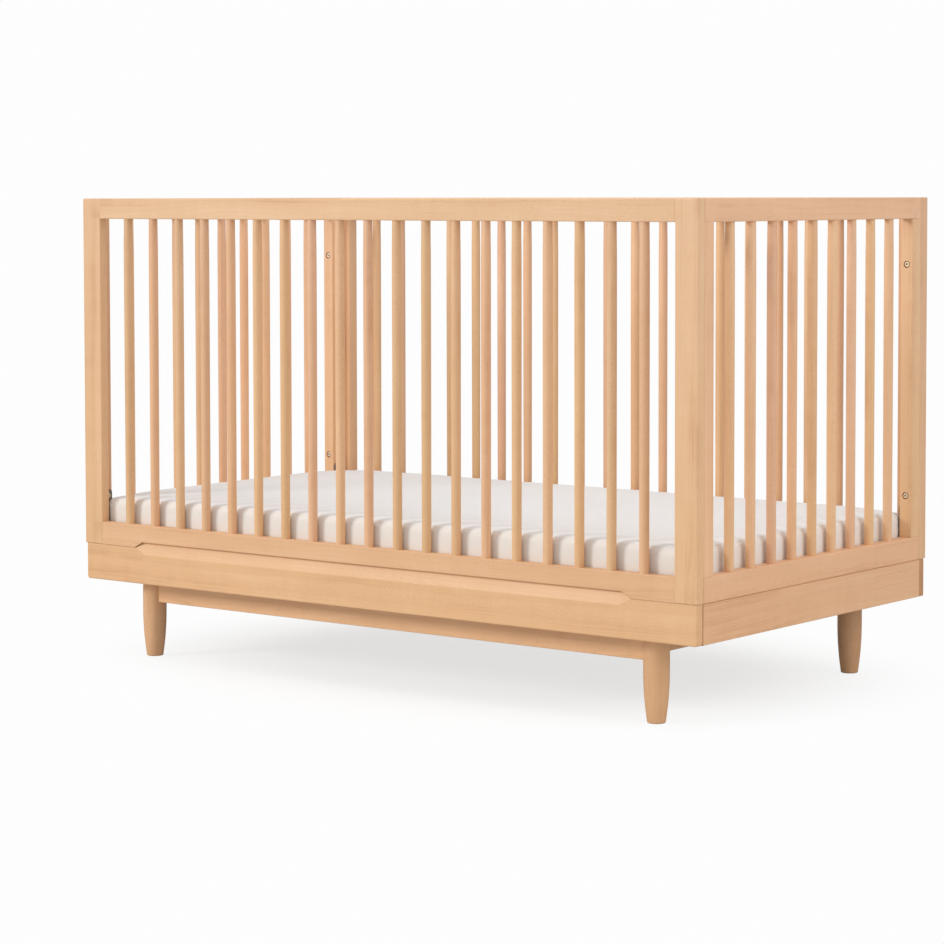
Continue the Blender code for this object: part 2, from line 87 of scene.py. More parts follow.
# ------------------------------------------------------------------ materials
class Tree:
    """Short names for the nodes that the materials here are made of."""

    def __init__(self, name):
        self.mat = bpy.data.materials.new(name)
        self.mat.use_nodes = True
        self.nodes = self.mat.node_tree.nodes
        self.links = self.mat.node_tree.links
        self.shader = self.nodes["Principled BSDF"]

    def make(self, kind, **values):
        node = self.nodes.new(kind)
        for key, value in values.items():
            setattr(node, key, value)
        return node

    def put(self, source, node, socket):
        if isinstance(source, (int, float, tuple, list)):
            node.inputs[socket].default_value = source
        else:
            self.links.new(source, node.inputs[socket])

    def attribute(self, name, output="Vector"):
        return self.make("ShaderNodeAttribute", attribute_name=name).outputs[output]

    def position(self):
        return self.make("ShaderNodeTexCoord").outputs["Object"]

    def maths(self, operation, a, b=0.0, c=0.0, clamp=False):
        node = self.make("ShaderNodeMath", operation=operation, use_clamp=clamp)
        self.put(a, node, 0)
        self.put(b, node, 1)
        if operation in ("MULTIPLY_ADD", "COMPARE"):
            self.put(c, node, 2)
        return node.outputs[0]

    def vector(self, operation, a, b=(0, 0, 0)):
        node = self.make("ShaderNodeVectorMath", operation=operation)
        self.put(a, node, 0)
        self.put(b, node, 1)
        return node.outputs[0]

    def split(self, source):
        node = self.make("ShaderNodeSeparateXYZ")
        self.put(source, node, 0)
        return node.outputs

    def join(self, x, y, z):
        node = self.make("ShaderNodeCombineXYZ")
        for i, value in enumerate((x, y, z)):
            self.put(value, node, i)
        return node.outputs[0]

    def noise(self, where, scale=1.0, detail=2.0, rough=0.5, distort=0.0, dims="3D"):
        node = self.make("ShaderNodeTexNoise", noise_dimensions=dims)
        self.put(where, node, "W" if dims == "1D" else "Vector")
        node.inputs["Scale"].default_value = scale
        node.inputs["Detail"].default_value = detail
        node.inputs["Roughness"].default_value = rough
        node.inputs["Distortion"].default_value = distort
        return node.outputs[0]

    def ramp(self, fac, stops, smooth="LINEAR"):
        node = self.make("ShaderNodeValToRGB")
        self.put(fac, node, 0)
        node.color_ramp.interpolation = smooth
        while len(node.color_ramp.elements) < len(stops):
            node.color_ramp.elements.new(0.5)
        for element, (at, colour) in zip(node.color_ramp.elements, stops):
            element.position = at
            element.color = (*colour, 1.0) if len(colour) == 3 else colour
        return node.outputs[0]

    def mix(self, fac, a, b, kind="MIX"):
        node = self.make("ShaderNodeMix", data_type="RGBA", blend_type=kind)
        self.put(fac, node, 0)
        for value, socket in ((a, 6), (b, 7)):
            if isinstance(value, (tuple, list)):
                node.inputs[socket].default_value = (*value[:3], 1.0)
            else:
                self.links.new(value, node.inputs[socket])
        return node.outputs[2]

    def bump(self, height, strength, distance, normal=None):
        node = self.make("ShaderNodeBump")
        node.inputs["Strength"].default_value = strength
        node.inputs["Distance"].default_value = distance
        self.put(height, node, "Height")
        if normal is not None:
            self.links.new(normal, node.inputs["Normal"])
        return node.outputs[0]

    def finish(self, colour=None, rough=None, normal=None, **plain):
        if colour is not None:
            self.put(colour, self.shader, "Base Color")
        if rough is not None:
            self.put(rough, self.shader, "Roughness")
        if normal is not None:
            self.links.new(normal, self.shader.inputs["Normal"])
        for socket, value in plain.items():
            self.shader.inputs[socket.replace("_", " ")].default_value = value
        return self.mat


def wood(name, light, mid, dark, rough=0.50, figure=1.0, coat=0.12):
    """Solid timber: "grain" is (along, across, across) in metres from the tree's heart, "tone_and_painted_light" is
    each piece's brightness, pinkness and paleness, where the paleness also rises with height as a painted sheen and
    some boards are darkened or lightened as painted shade and light, and "endgrain" is 1 on the ends of the fibres."""
    t = Tree(name)
    grain = t.attribute("grain")
    tone_and_painted_light = t.split(t.attribute("tone_and_painted_light"))
    end = t.attribute("endgrain", "Fac")
    a, b, c = t.split(grain)

    def stretched(along, across, shift=0.0):
        return t.join(t.maths("MULTIPLY_ADD", a, along, shift),
                      t.maths("MULTIPLY", b, across), t.maths("MULTIPLY", c, across))

    # Growth rings: layers round the heart, wandering slowly along the trunk.
    wander = t.maths("SUBTRACT", t.noise(stretched(1.9, 11.0), detail=2.0), 0.5)
    wobble = t.maths("SUBTRACT", t.noise(stretched(9.0, 70.0, 3.7), detail=2.0), 0.5)
    radius = t.maths("SQRT", t.maths("ADD", t.maths("MULTIPLY", b, b), t.maths("MULTIPLY", c, c)))
    radius = t.maths("MULTIPLY_ADD", wander, 0.030, radius)
    radius = t.maths("MULTIPLY_ADD", wobble, 0.0020, radius)
    rings = t.noise(t.maths("MULTIPLY", radius, 330.0), detail=3.0, rough=0.62, dims="1D")
    bands = t.noise(t.maths("MULTIPLY_ADD", radius, 62.0, 9.3), detail=1.0, dims="1D")
    # Fibres, soft clouds of lustre, and faint ripples across the fibres.
    fibres = t.noise(stretched(11.0, 520.0, 1.3), detail=3.0, rough=0.6)
    pores = t.noise(stretched(75.0, 1900.0, 5.1), detail=1.0)
    clouds = t.noise(stretched(4.2, 17.0, 8.8), detail=2.0, rough=0.55)
    ripple = t.noise(stretched(42.0, 5.0, 2.2), detail=1.0)
    value = t.maths("MULTIPLY_ADD", t.maths("SUBTRACT", rings, 0.5), 0.40 * figure, 0.5)
    for part, share in ((bands, 0.30 * figure), (fibres, 0.34), (clouds, 0.80), (ripple, 0.22)):
        value = t.maths("MULTIPLY_ADD", t.maths("SUBTRACT", part, 0.5), share, value)
    colour = t.ramp(value, [(0.18, dark), (0.50, mid), (0.80, light)], "EASE")
    # Short dark flecks, as on a beech or birch board.
    fleck = t.ramp(t.noise(stretched(210.0, 1500.0, 4.4), detail=0.0),
                   [(0.63, (0, 0, 0)), (0.72, (1, 1, 1))])
    few = t.ramp(t.noise(stretched(3.0, 40.0, 6.1), detail=1.0),
                 [(0.42, (0, 0, 0)), (0.62, (1, 1, 1))])
    flecks = t.maths("MULTIPLY", t.maths("MULTIPLY", fleck, few), 0.34)
    colour = t.mix(flecks, colour, tuple(x * 0.66 for x in dark))
    # A few mineral lines, long and thin.
    line = t.ramp(t.noise(stretched(2.4, 240.0, 7.7), detail=1.0, rough=0.4),
                  [(0.69, (0, 0, 0)), (0.74, (1, 1, 1))])
    colour = t.mix(t.maths("MULTIPLY", line, 0.20), colour, tuple(x * 0.72 for x in dark))
    # Each piece of timber has its own tone, which also carries painted light: a paler sheen towards the top, and some
    # boards darkened or lightened as painted shade and light; the ends drink more lacquer.
    bright, warm, pale = tone_and_painted_light[0], tone_and_painted_light[1], tone_and_painted_light[2]
    whole = t.maths("ADD", bright, 1.0)
    shift = t.join(t.maths("MULTIPLY_ADD", warm, 0.006, t.maths("MULTIPLY_ADD", pale, 0.0, whole)),
                   t.maths("MULTIPLY_ADD", warm, -0.020, t.maths("MULTIPLY_ADD", pale, 0.018, whole)),
                   t.maths("MULTIPLY_ADD", warm, 0.022, t.maths("MULTIPLY_ADD", pale, 0.070, whole)))
    colour = t.mix(1.0, colour, shift, "MULTIPLY")
    colour = t.mix(t.maths("MULTIPLY", end, 0.90), colour,
                   t.mix(1.0, colour, (0.66, 0.56, 0.48), "MULTIPLY"))
    roughness = t.maths("MULTIPLY_ADD", t.maths("SUBTRACT", fibres, 0.5), 0.16, rough)
    roughness = t.maths("MULTIPLY_ADD", flecks, 0.25, roughness)
    height = t.maths("MULTIPLY_ADD", pores, 0.35, t.maths("MULTIPLY", fibres, 0.65))
    height = t.maths("MULTIPLY_ADD", flecks, -0.9, height)
    normal = t.bump(height, 0.16, 0.00022)
    return t.finish(colour, roughness, normal, IOR=1.47, Specular_IOR_Level=0.5,
                    Coat_Weight=coat, Coat_Roughness=0.30)


OAK = dict(light=(0.815, 0.515, 0.300), mid=(0.770, 0.465, 0.258), dark=(0.680, 0.385, 0.200))
frame_wood = wood("frame_wood_oak", **OAK)
base_wood = wood("base_wood_oak", figure=0.85, light=(0.815, 0.512, 0.295), mid=(0.770, 0.462, 0.253),
                 dark=(0.680, 0.383, 0.197))
turned_wood = wood("turned_wood_oak", figure=0.8, **OAK)
pale_timber = wood("pale_timber_planed", figure=1.5, light=(0.90, 0.76, 0.55), mid=(0.84, 0.67, 0.45),
                   dark=(0.66, 0.45, 0.25), rough=0.66, coat=0.0)


def steel(name, colour, rough, grime=0.10):
    """Zinc-plated steel: fine brushed lines, faint mottling and duller patches."""
    t = Tree(name)
    where = t.position()
    mottle = t.noise(where, 160.0, 3.0)
    brushed = t.noise(t.vector("MULTIPLY", where, (2600.0, 2600.0, 160.0)), 1.0, 2.0)
    shade = t.mix(t.maths("MULTIPLY", mottle, 0.5), tuple(colour), tuple(x * (1 - 2 * grime) for x in colour))
    roughness = t.maths("MULTIPLY_ADD", t.maths("SUBTRACT", mottle, 0.5), 0.22, rough)
    roughness = t.maths("MULTIPLY_ADD", t.maths("SUBTRACT", brushed, 0.5), 0.12, roughness)
    return t.finish(shade, roughness, t.bump(brushed, 0.08, 0.00008), Metallic=1.0)


def powder_coat(name, colour):
    """Powder coat: a fine orange-peel skin."""
    t = Tree(name)
    where = t.position()
    peel = t.noise(where, 900.0, 2.0)
    dust = t.noise(where, 60.0, 3.0)
    shade = t.mix(t.maths("MULTIPLY", dust, 0.35), tuple(colour), tuple(x * 0.90 for x in colour))
    roughness = t.maths("MULTIPLY_ADD", dust, 0.12, 0.34)
    return t.finish(shade, roughness, t.bump(peel, 0.18, 0.00018), Specular_IOR_Level=0.5)


def cotton(name, colour, pitch, strength=0.35, slub=0.05, painted_warm_sides=None):
    """Plain-woven cotton: crossed threads, uneven yarn and a soft nap. "cloth" is (along, across, 0) in metres on the
    flat cloth, and "panel" is 1 on the side panels, which can be tinted warmer than the top as painted light, the warm
    light the sides catch from the timber."""
    t = Tree(name)
    x, y, _ = t.split(t.attribute("cloth"))
    warp_noise = t.noise(t.join(t.maths("MULTIPLY", x, 90.0), t.maths("MULTIPLY", y, 90.0), 0.0), 1.0, 2.0)
    jitter = t.maths("MULTIPLY", t.maths("SUBTRACT", warp_noise, 0.5), 1.4)
    turns = 2 * math.pi / pitch

    def threads(along, across):
        over = t.maths("SINE", t.maths("MULTIPLY_ADD", across, turns, jitter))
        under = t.maths("SINE", t.maths("MULTIPLY_ADD", along, turns / 2, jitter))
        return t.maths("MULTIPLY", t.maths("ABSOLUTE", over),
                       t.maths("MULTIPLY_ADD", under, 0.35, 0.65))

    weave = t.maths("MAXIMUM", threads(x, y), threads(y, x))
    yarn_x = t.noise(t.join(t.maths("MULTIPLY", x, 18.0), t.maths("MULTIPLY", y, 1500.0), 0.0), 1.0, 1.0)
    yarn_y = t.noise(t.join(t.maths("MULTIPLY", x, 1500.0), t.maths("MULTIPLY", y, 18.0), 4.0), 1.0, 1.0)
    yarn = t.maths("ADD", t.maths("SUBTRACT", yarn_x, 0.5), t.maths("SUBTRACT", yarn_y, 0.5))
    cloudy = t.noise(t.join(t.maths("MULTIPLY", x, 7.0), t.maths("MULTIPLY", y, 7.0), 1.0), 1.0, 2.0)
    value = t.maths("MULTIPLY_ADD", yarn, slub * 4, t.maths("MULTIPLY_ADD", weave, 0.30, 0.40))
    value = t.maths("MULTIPLY_ADD", t.maths("SUBTRACT", cloudy, 0.5), 0.35, value)
    shade = t.ramp(value, [(0.15, tuple(c * 0.91 for c in colour)), (0.75, colour)])
    # Painted light: the side panels take a warmer tint, standing in for the light the sides catch from the timber.
    if painted_warm_sides is not None:
        shade = t.mix(t.attribute("panel", "Fac"), shade,
                      t.mix(1.0, shade, tuple(b / a for a, b in zip(colour, painted_warm_sides)), "MULTIPLY"))
    height = t.maths("MULTIPLY_ADD", yarn, 0.5, weave)
    roughness = t.maths("MULTIPLY_ADD", t.maths("SUBTRACT", yarn, 0.0), 0.10, 0.88)
    return t.finish(shade, roughness, t.bump(height, strength, 0.00022),
                    Specular_IOR_Level=0.25, Sheen_Weight=0.18, Sheen_Roughness=0.5)


bolt_steel = steel("bolt_steel_zinc", (0.74, 0.61, 0.45), 0.52, 0.06)
insert_brass = steel("insert_brass_plated", (0.72, 0.56, 0.30), 0.38)
hanger_steel = powder_coat("hanger_bronze_coat", (0.16, 0.12, 0.09))
sheet_cotton = cotton("sheet_white_cotton", (0.862, 0.872, 0.880), 0.0009, painted_warm_sides=(0.860, 0.818, 0.772))
ticking = cotton("mattress_ticking", (0.80, 0.79, 0.76), 0.0016, 0.5)
elastic = cotton("sheet_elastic_hem", (0.84, 0.83, 0.82), 0.0012, 0.6)


# ------------------------------------------------------------------ mesh helpers
def to_object(bm, name):
    mesh = bpy.data.meshes.new(name)
    bmesh.ops.recalc_face_normals(bm, faces=bm.faces)
    bm.to_mesh(mesh)
    bm.free()
    obj = bpy.data.objects.new(name, mesh)
    scene.collection.objects.link(obj)
    return obj


def applied(obj):
    """The object's mesh with its modifiers applied."""
    bpy.context.view_layer.update()
    graph = bpy.context.evaluated_depsgraph_get()
    mesh = bpy.data.meshes.new_from_object(obj.evaluated_get(graph))
    obj.modifiers.clear()
    obj.data = mesh
    return obj


def carve(obj, cutters):
    """Cuts the cutter meshes out of obj and removes them."""
    for cutter in cutters:
        boolean = obj.modifiers.new("cut", "BOOLEAN")
        boolean.operation = "DIFFERENCE"
        boolean.solver = "EXACT"
        boolean.object = cutter
    applied(obj)
    for cutter in cutters:
        bpy.data.objects.remove(cutter, do_unlink=True)
    return obj


def smooth(obj, sharp=30):
    """Smooth rounds beside flat faces that stay flat."""
    obj.data.shade_smooth()
    obj.data.set_sharp_from_angle(angle=math.radians(sharp))
    weighted = obj.modifiers.new("flat_faces", "WEIGHTED_NORMAL")
    weighted.mode = "FACE_AREA"
    weighted.keep_sharp = True
    weighted.weight = 60
    return obj


def stored(mesh, name, kind, domain, values):
    old = mesh.attributes.get(name)
    if old is not None:
        mesh.attributes.remove(old)
    made = mesh.attributes.new(name, kind, domain)
    field = "vector" if kind == "FLOAT_VECTOR" else "value"
    made.data.foreach_set(field, np.asarray(values, np.float32).ravel())


def set_grain(obj, axis, seed, bright=0.0, warm=0.0, pale=0.0, heart=None, ends=1.0):
    """The coordinates that the timber material reads. The heart of the tree lies off to one side of the piece."""
    rng = random.Random(seed)
    mesh = obj.data
    points = np.zeros(len(mesh.vertices) * 3)
    mesh.vertices.foreach_get("co", points)
    points = points.reshape(-1, 3)
    middle = (points.min(0) + points.max(0)) / 2
    points = points - middle
    b, c = [k for k in range(3) if k != axis]
    angle = rng.uniform(0, 2 * math.pi)
    away = heart if heart is not None else rng.uniform(0.045, 0.120)
    grain = np.zeros_like(points)
    lean = rng.uniform(-0.012, 0.012)
    grain[:, 0] = points[:, axis] + rng.uniform(0, 40)
    grain[:, 1] = points[:, b] + math.cos(angle) * away + lean * points[:, axis]
    grain[:, 2] = points[:, c] + math.sin(angle) * away + rng.uniform(-0.012, 0.012) * points[:, axis]
    stored(mesh, "grain", "FLOAT_VECTOR", "POINT", grain)
    # Painted highlight: the timber is made paler towards the top rails, standing in for the sheen of the soft box that
    # the upper parts catch.
    height = (points[:, 2] + middle[2] - 0.144) / 0.722
    tone_and_painted_light = np.zeros_like(points)
    tone_and_painted_light[:, 0] = bright + rng.uniform(-0.010, 0.010)
    tone_and_painted_light[:, 1] = warm + rng.uniform(-0.3, 0.3)
    tone_and_painted_light[:, 2] = 2 * height - 1 + rng.uniform(-0.2, 0.2) + pale
    stored(mesh, "tone_and_painted_light", "FLOAT_VECTOR", "POINT", tone_and_painted_light)
    normals = np.zeros(len(mesh.polygons) * 3)
    mesh.polygons.foreach_get("normal", normals)
    cut = (np.abs(normals.reshape(-1, 3)[:, axis]) > 0.75).astype(float)
    stored(mesh, "endgrain", "FLOAT", "FACE", cut * ends)
    return obj


def dress(obj, material, slot, body, *replaced):
    obj.data.materials.clear()
    obj.data.materials.append(material)
    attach(obj, body)
    if replaced:
        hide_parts(*replaced)
    return obj


def box_bm(low, high, cuts=()):
    bm = bmesh.new()
    bmesh.ops.create_cube(bm, size=1.0)
    bmesh.ops.scale(bm, vec=high - low, verts=bm.verts)
    bmesh.ops.translate(bm, vec=(low + high) / 2, verts=bm.verts)
    for axis, value in cuts:
        normal = Vector((0, 0, 0))
        normal[axis] = 1
        bmesh.ops.bisect_plane(bm, geom=bm.verts[:] + bm.edges[:] + bm.faces[:],
                               plane_co=normal * value, plane_no=normal)
    return bm


def outline_bm(points, y0, y1):
    """A flat outline of (x, z) points, between two planes across Y."""
    bm = bmesh.new()
    face = bm.faces.new([bm.verts.new((x, y0, z)) for x, z in points])
    moved = bmesh.ops.extrude_face_region(bm, geom=[face])["geom"]
    bmesh.ops.translate(bm, vec=(0, y1 - y0, 0),
                        verts=[g for g in moved if isinstance(g, bmesh.types.BMVert)])
    bmesh.ops.recalc_face_normals(bm, faces=bm.faces)
    return bm


def round_edges(bm, radius, pick, segments=3, clamp=True):
    """Rounds the sharp edges that pick(middle, direction) chooses."""
    bm.normal_update()
    chosen = []
    for edge in bm.edges:
        if len(edge.link_faces) != 2 or edge.calc_face_angle() < math.radians(25):
            continue
        a, b = edge.verts[0].co, edge.verts[1].co
        if pick((a + b) / 2, (b - a).normalized()):
            chosen.append(edge)
    if chosen:
        bmesh.ops.bevel(bm, geom=chosen, offset=radius, offset_type="OFFSET", segments=segments,
                        profile=0.5, affect="EDGES", clamp_overlap=clamp)
    return bm


def along(axis):
    return lambda middle, direction: abs(direction[axis]) > 0.9


def everywhere(middle, direction):
    return True


def rod(name, radius, low, high, axis, segments=40):
    """A plain round cutter along an axis; low and high are its end points' coordinate on it."""
    bm = bmesh.new()
    bmesh.ops.create_cone(bm, cap_ends=True, segments=segments, radius1=radius, radius2=radius,
                          depth=abs(high[axis] - low[axis]))
    turn = {0: Matrix.Rotation(math.pi / 2, 4, "Y"), 1: Matrix.Rotation(math.pi / 2, 4, "X"),
            2: Matrix.Identity(4)}[axis]
    bmesh.ops.transform(bm, matrix=Matrix.Translation((low + high) / 2) @ turn, verts=bm.verts)
    return to_object(bm, name)


def turned_bm(profile, segments):
    """A profile of (radius, z) rows, bottom to top, turned about Z, with closed ends."""
    bm = bmesh.new()
    rings = []
    for r, z in profile:
        rings.append([bm.verts.new((r * math.cos(2 * math.pi * k / segments),
                                    r * math.sin(2 * math.pi * k / segments), z))
                      for k in range(segments)])
    for lower, upper in zip(rings, rings[1:]):
        for k in range(segments):
            n = (k + 1) % segments
            bm.faces.new((lower[k], lower[n], upper[n], upper[k]))
    bm.faces.new(rings[0][::-1])
    bm.faces.new(rings[-1])
    return bm


# ------------------------------------------------------------------ side frames
BOARD_TONES_AND_PAINTED_SHADE = {  # brightness, pinkness and paleness of each board, as timber varies in one piece of furniture; the feet and the left end's front post are also darkened as painted shade, and the front under-rail is lightened as painted light
    "front_top_rail": (-0.015, -0.8, 0.3), "front_bottom_rail": (-0.025, 0.2),
    "front_left_stile": (-0.02, -0.5, 0.1), "front_right_stile": (0.0, -0.8, 0.6),
    "base_front_panel": (0.0, -0.5), "base_right_panel": (0.0, 0.6, 0.1), "base_left_panel": (-0.02, 0.4),
    "right_end_top_rail": (0.035, 1.0), "right_end_bottom_rail": (0.02, 1.3),
    "right_end_front_post": (0.03, 0.4), "right_end_back_post": (0.0, -0.6),
    # Painted shade: the left end's front post is darkened to give the dark strip of shade along its inner edge.
    "left_end_front_post": (-0.12, 0.9), "left_end_back_post": (0.02, 0.2),
    # Painted shade and light: the feet are darkened where the crib shades them, and the front under-rail is lightened
    # to lift its shade.
    "under_rail_front": (0.09, 0.0), "foot_back_right": (-0.18, 0.6), "foot_front_right": (-0.05, 0.3), "foot_front_left": (-0.02, 0.3),
    "back_left_stile": (0.02, 0.2), "back_right_stile": (-0.07, 0.4),
}
seeds = {name: 1000 + 7 * i for i, name in enumerate(sorted(nodes))}


def tone_and_painted_shade_of(name):
    return BOARD_TONES_AND_PAINTED_SHADE.get(name, (0.0, 0.0))


front_low, front_high = box_of("front_left_stile")
rail_top = box_of("front_bottom_rail")[1].z
top_rail_under = box_of("front_top_rail")[0].z


def add_board(name, bm, axis, material, slot, body=FRAME, cutters=(), sharp=30):
    obj = to_object(bm, name + "_board")
    if cutters:
        carve(obj, cutters)
    set_grain(obj, axis, seeds[name], *tone_and_painted_shade_of(name), ends=0.15 if name == "base_front_panel" else 1.0)
    smooth(obj, sharp)
    return dress(obj, material, slot, body, name)


for side in ("front", "back"):
    # Rails butt between the stiles, flush with them, so only their long edges are eased.
    low, high = box_of(f"{side}_top_rail")
    add_board(f"{side}_top_rail", round_edges(box_bm(low, high), EASE, along(0)), 0,
              frame_wood, "frame_wood")
    low, high = box_of(f"{side}_bottom_rail")
    if side == "front":
        base_top, lip_top = box_of("base_right_panel")[1].z, box_of("base_front_panel")[1].z
        shape = [(low.x, low.z), (-0.5652, low.z), (-0.5463, lip_top + 0.0003),
                 (0.5463, lip_top + 0.0003), (0.5652, low.z), (high.x, low.z),
                 (high.x, high.z), (low.x, high.z)]
        bm = outline_bm(shape, low.y, high.y)
        ends = high.x
        round_edges(bm, 0.0008, lambda m, d: abs(d.y) < 0.5 and abs(m.x) < ends - 1e-4
                    and m.z < high.z - 0.01)
        round_edges(bm, EASE, lambda m, d: abs(d.x) > 0.9 and m.z > high.z - 1e-4)
    else:
        bm = round_edges(box_bm(low, high), EASE, along(0))
    add_board(f"{side}_bottom_rail", bm, 0, frame_wood, "frame_wood")

    for hand, sign in (("left", -1), ("right", 1)):
        name = f"{side}_{hand}_stile"
        low, high = box_of(name)
        inner = high.x if sign < 0 else low.x

        def stile_edge(middle, direction):
            at_inner = abs(middle.x - inner) < 1e-4
            if abs(direction.z) > 0.9:
                return not at_inner or rail_top < middle.z < top_rail_under
            return not at_inner

        bm = box_bm(low, high, [(2, rail_top), (2, top_rail_under)])
        # Flush against the end frame, so this edge is only just broken.
        outer_x, inner_y = (low.x, high.x)[sign > 0], (low.y, high.y)[side == "front"]

        def flush(middle, direction):
            return abs(direction.z) > 0.9 and abs(middle.x - outer_x) < 1e-4 and abs(middle.y - inner_y) < 1e-4

        round_edges(bm, EASE, lambda m, d: stile_edge(m, d) and not flush(m, d))
        add_board(name, round_edges(bm, 0.0004, flush, 1), 2, frame_wood, "frame_wood")

bolt_at = {}  # the frame bolts' centres, per post
for name in nodes:
    if name.startswith("frame_bolt"):
        low, high = box_of(name)
        bolt_at[name] = ((low + high) / 2, low, high)

HOLE_STEPS = (0.15, 0.30)  # the support's other two heights above its lowest
for hand, sign in (("left", -1), ("right", 1)):
    posts = {side: box_of(f"{hand}_end_{side}_post") for side in ("front", "back")}
    for level in ("top", "bottom"):
        name = f"{hand}_end_{level}_rail"
        low, high = box_of(name)
        cut_a, cut_b = posts["front"][1].y, posts["back"][0].y
        meets = low.z if level == "top" else high.z

        def rail_edge(middle, direction):
            if abs(direction.y) < 0.9:
                return False
            return abs(middle.z - meets) > 1e-4 or cut_a < middle.y < cut_b

        bm = box_bm(low, high, [(1, cut_a), (1, cut_b)])
        add_board(name, round_edges(bm, EASE, rail_edge), 1, frame_wood, "frame_wood")
    for side in ("front", "back"):
        name = f"{hand}_end_{side}_post"
        low, high = posts[side]
        cutters = []
        face = high.y if side == "front" else low.y
        for bolt, (centre, b_low, b_high) in bolt_at.items():
            if bolt.startswith(f"frame_bolt_{side}_{hand}"):
                a, b = Vector(centre), Vector(centre)
                a.y, b.y = sorted((face + (0.004 if side == "front" else -0.004),
                                   face - (0.0050 if side == "front" else -0.0050)))
                cutters.append(rod("recess", 0.0064, a, b, 1))
        strap_low, strap_high = box_of(f"support_hanger_{side}_{hand}")
        mid_y = (strap_low.y + strap_high.y) / 2
        inner_x = low.x if sign > 0 else high.x
        for step in HOLE_STEPS:
            z = strap_high.z - 0.012 + step
            a, b = Vector((0, mid_y, z)), Vector((0, mid_y, z))
            a.x, b.x = sorted((inner_x - sign * 0.004, inner_x + sign * 0.010))
            cutters.append(rod("height_hole", 0.0042, a, b, 0))
        # The edge that meets the stile is flush with it on the outside.
        outer_x = high.x if sign > 0 else low.x
        meet_y = low.y if side == "front" else high.y

        def flush(middle, direction):
            return abs(direction.z) > 0.9 and abs(middle.x - outer_x) < 1e-4 and abs(middle.y - meet_y) < 1e-4

        bm = box_bm(low, high)
        round_edges(bm, EASE, lambda m, d: abs(d.z) > 0.9 and not flush(m, d))
        round_edges(bm, 0.0004, flush, 1)
        add_board(name, bm, 2, frame_wood, "frame_wood", cutters=cutters)
        # Threaded inserts for the support's other heights, a little below the surface.
        for i, step in enumerate(HOLE_STEPS):
            z = strap_high.z - 0.012 + step
            profile = [(0.0040, 0.0), (0.0040, 0.0060), (0.0036, 0.0064), (0.0029, 0.0064), (0.0025, 0.0060)]
            bm = bmesh.new()
            ring = []
            for r, h in profile + [(0.0025, 0.0)]:
                ring.append([bm.verts.new((r * math.cos(2 * math.pi * k / 32), r * math.sin(2 * math.pi * k / 32), h))
                             for k in range(32)])
            for lower, upper in zip(ring, ring[1:] + ring[:1]):
                for k in range(32):
                    n = (k + 1) % 32
                    bm.faces.new((lower[k], lower[n], upper[n], upper[k]))
            turn = Matrix.Rotation(-sign * math.pi / 2, 4, "Y")
            place = Matrix.Translation((inner_x + sign * 0.0072, mid_y, z)) @ turn
            bmesh.ops.transform(bm, matrix=place, verts=bm.verts)
            insert = to_object(bm, f"height_insert_{side}_{hand}_{i + 2}")
            smooth(insert, 40)
            dress(insert, insert_brass, "bolt_steel", FRAME)

# ------------------------------------------------------------------ spindles
SPINDLE_R, NECK_R, FOOT_NECK_R, NECK_H = 0.0086, 0.0080, 0.0082, 0.070


def spindle_bm(length, sink):
    """A turned spindle from the lower rail to the upper one, sunk a little into both."""
    rows = [(FOOT_NECK_R - 0.0004, -sink), (FOOT_NECK_R, -sink + 0.0005), (FOOT_NECK_R, 0.0)]
    steps = 22
    for i in range(1, steps):
        z = length * i / steps
        if z < length - NECK_H:
            s = z / (length - NECK_H)
            r = FOOT_NECK_R + (SPINDLE_R - FOOT_NECK_R) * math.sin(s * math.pi / 2)
        else:
            s = (length - z) / NECK_H
            r = NECK_R + (SPINDLE_R - NECK_R) * (s * s * (3 - 2 * s))
        rows.append((r, z))
    rows += [(NECK_R, length), (NECK_R, length + sink - 0.0005), (NECK_R - 0.0004, length + sink)]
    return turned_bm(rows, 32)


spindle_tone = random.Random(42)
for row in ("front", "back", "left_end", "right_end"):
    rack = f"{row}_spindles"
    low, high = box_of(rack)
    count = 19 if row in ("front", "back") else 9
    axis = 0 if count == 19 else 1
    middle = (low + high) / 2
    length = top_rail_under - rail_top
    for i in range(count):
        where = Vector((middle.x, middle.y, rail_top))
        where[axis] += (i - (count - 1) / 2) * 0.065
        bm = spindle_bm(length, 0.0035)
        turn = Matrix.Rotation(spindle_tone.uniform(0, 6.28), 4, "Z")
        bmesh.ops.transform(bm, matrix=Matrix.Translation(where) @ turn, verts=bm.verts)
        spindle = to_object(bm, f"{row}_spindle_{i + 1:02d}")
        set_grain(spindle, 2, 5000 + len(row) * 211 + i * 13, spindle_tone.uniform(-0.050, 0.050),
                  spindle_tone.uniform(-1.4, 1.4), spindle_tone.uniform(-0.9, 0.9))
        spindle.data.shade_smooth()
        spindle.data.set_sharp_from_angle(angle=math.radians(50))
        dress(spindle, turned_wood, "turned_wood", FRAME, rack)

# ------------------------------------------------------------------ base box
low, high = box_of("base_front_panel")
top = box_of("base_right_panel")[1].z
shape = [(low.x, low.z), (high.x, low.z), (high.x, top), (0.563, top), (0.546, high.z),
         (-0.546, high.z), (-0.563, top), (low.x, top)]
bm = outline_bm(shape, low.y, high.y)
end_x, foot_z = high.x, low.z
round_edges(bm, 0.0052, lambda m, d: abs(d.y) > 0.9 and abs(m.z - foot_z) < 1e-4, 5)
round_edges(bm, 0.0024, lambda m, d: m.z < top - 0.01 and abs(d.y) < 0.1)
round_edges(bm, 0.0008, lambda m, d: m.z > top - 0.0009 and abs(d.z) < 0.9 and abs(m.x) < end_x - 0.003, 2)
panel = to_object(bm, "base_front_blank")
wedge = bmesh.new()
seam, heel_z = top, top - 0.0125
crest = high.z + 0.006
deep_y = low.y + 0.0055 * (crest - heel_z) / (high.z - heel_z)
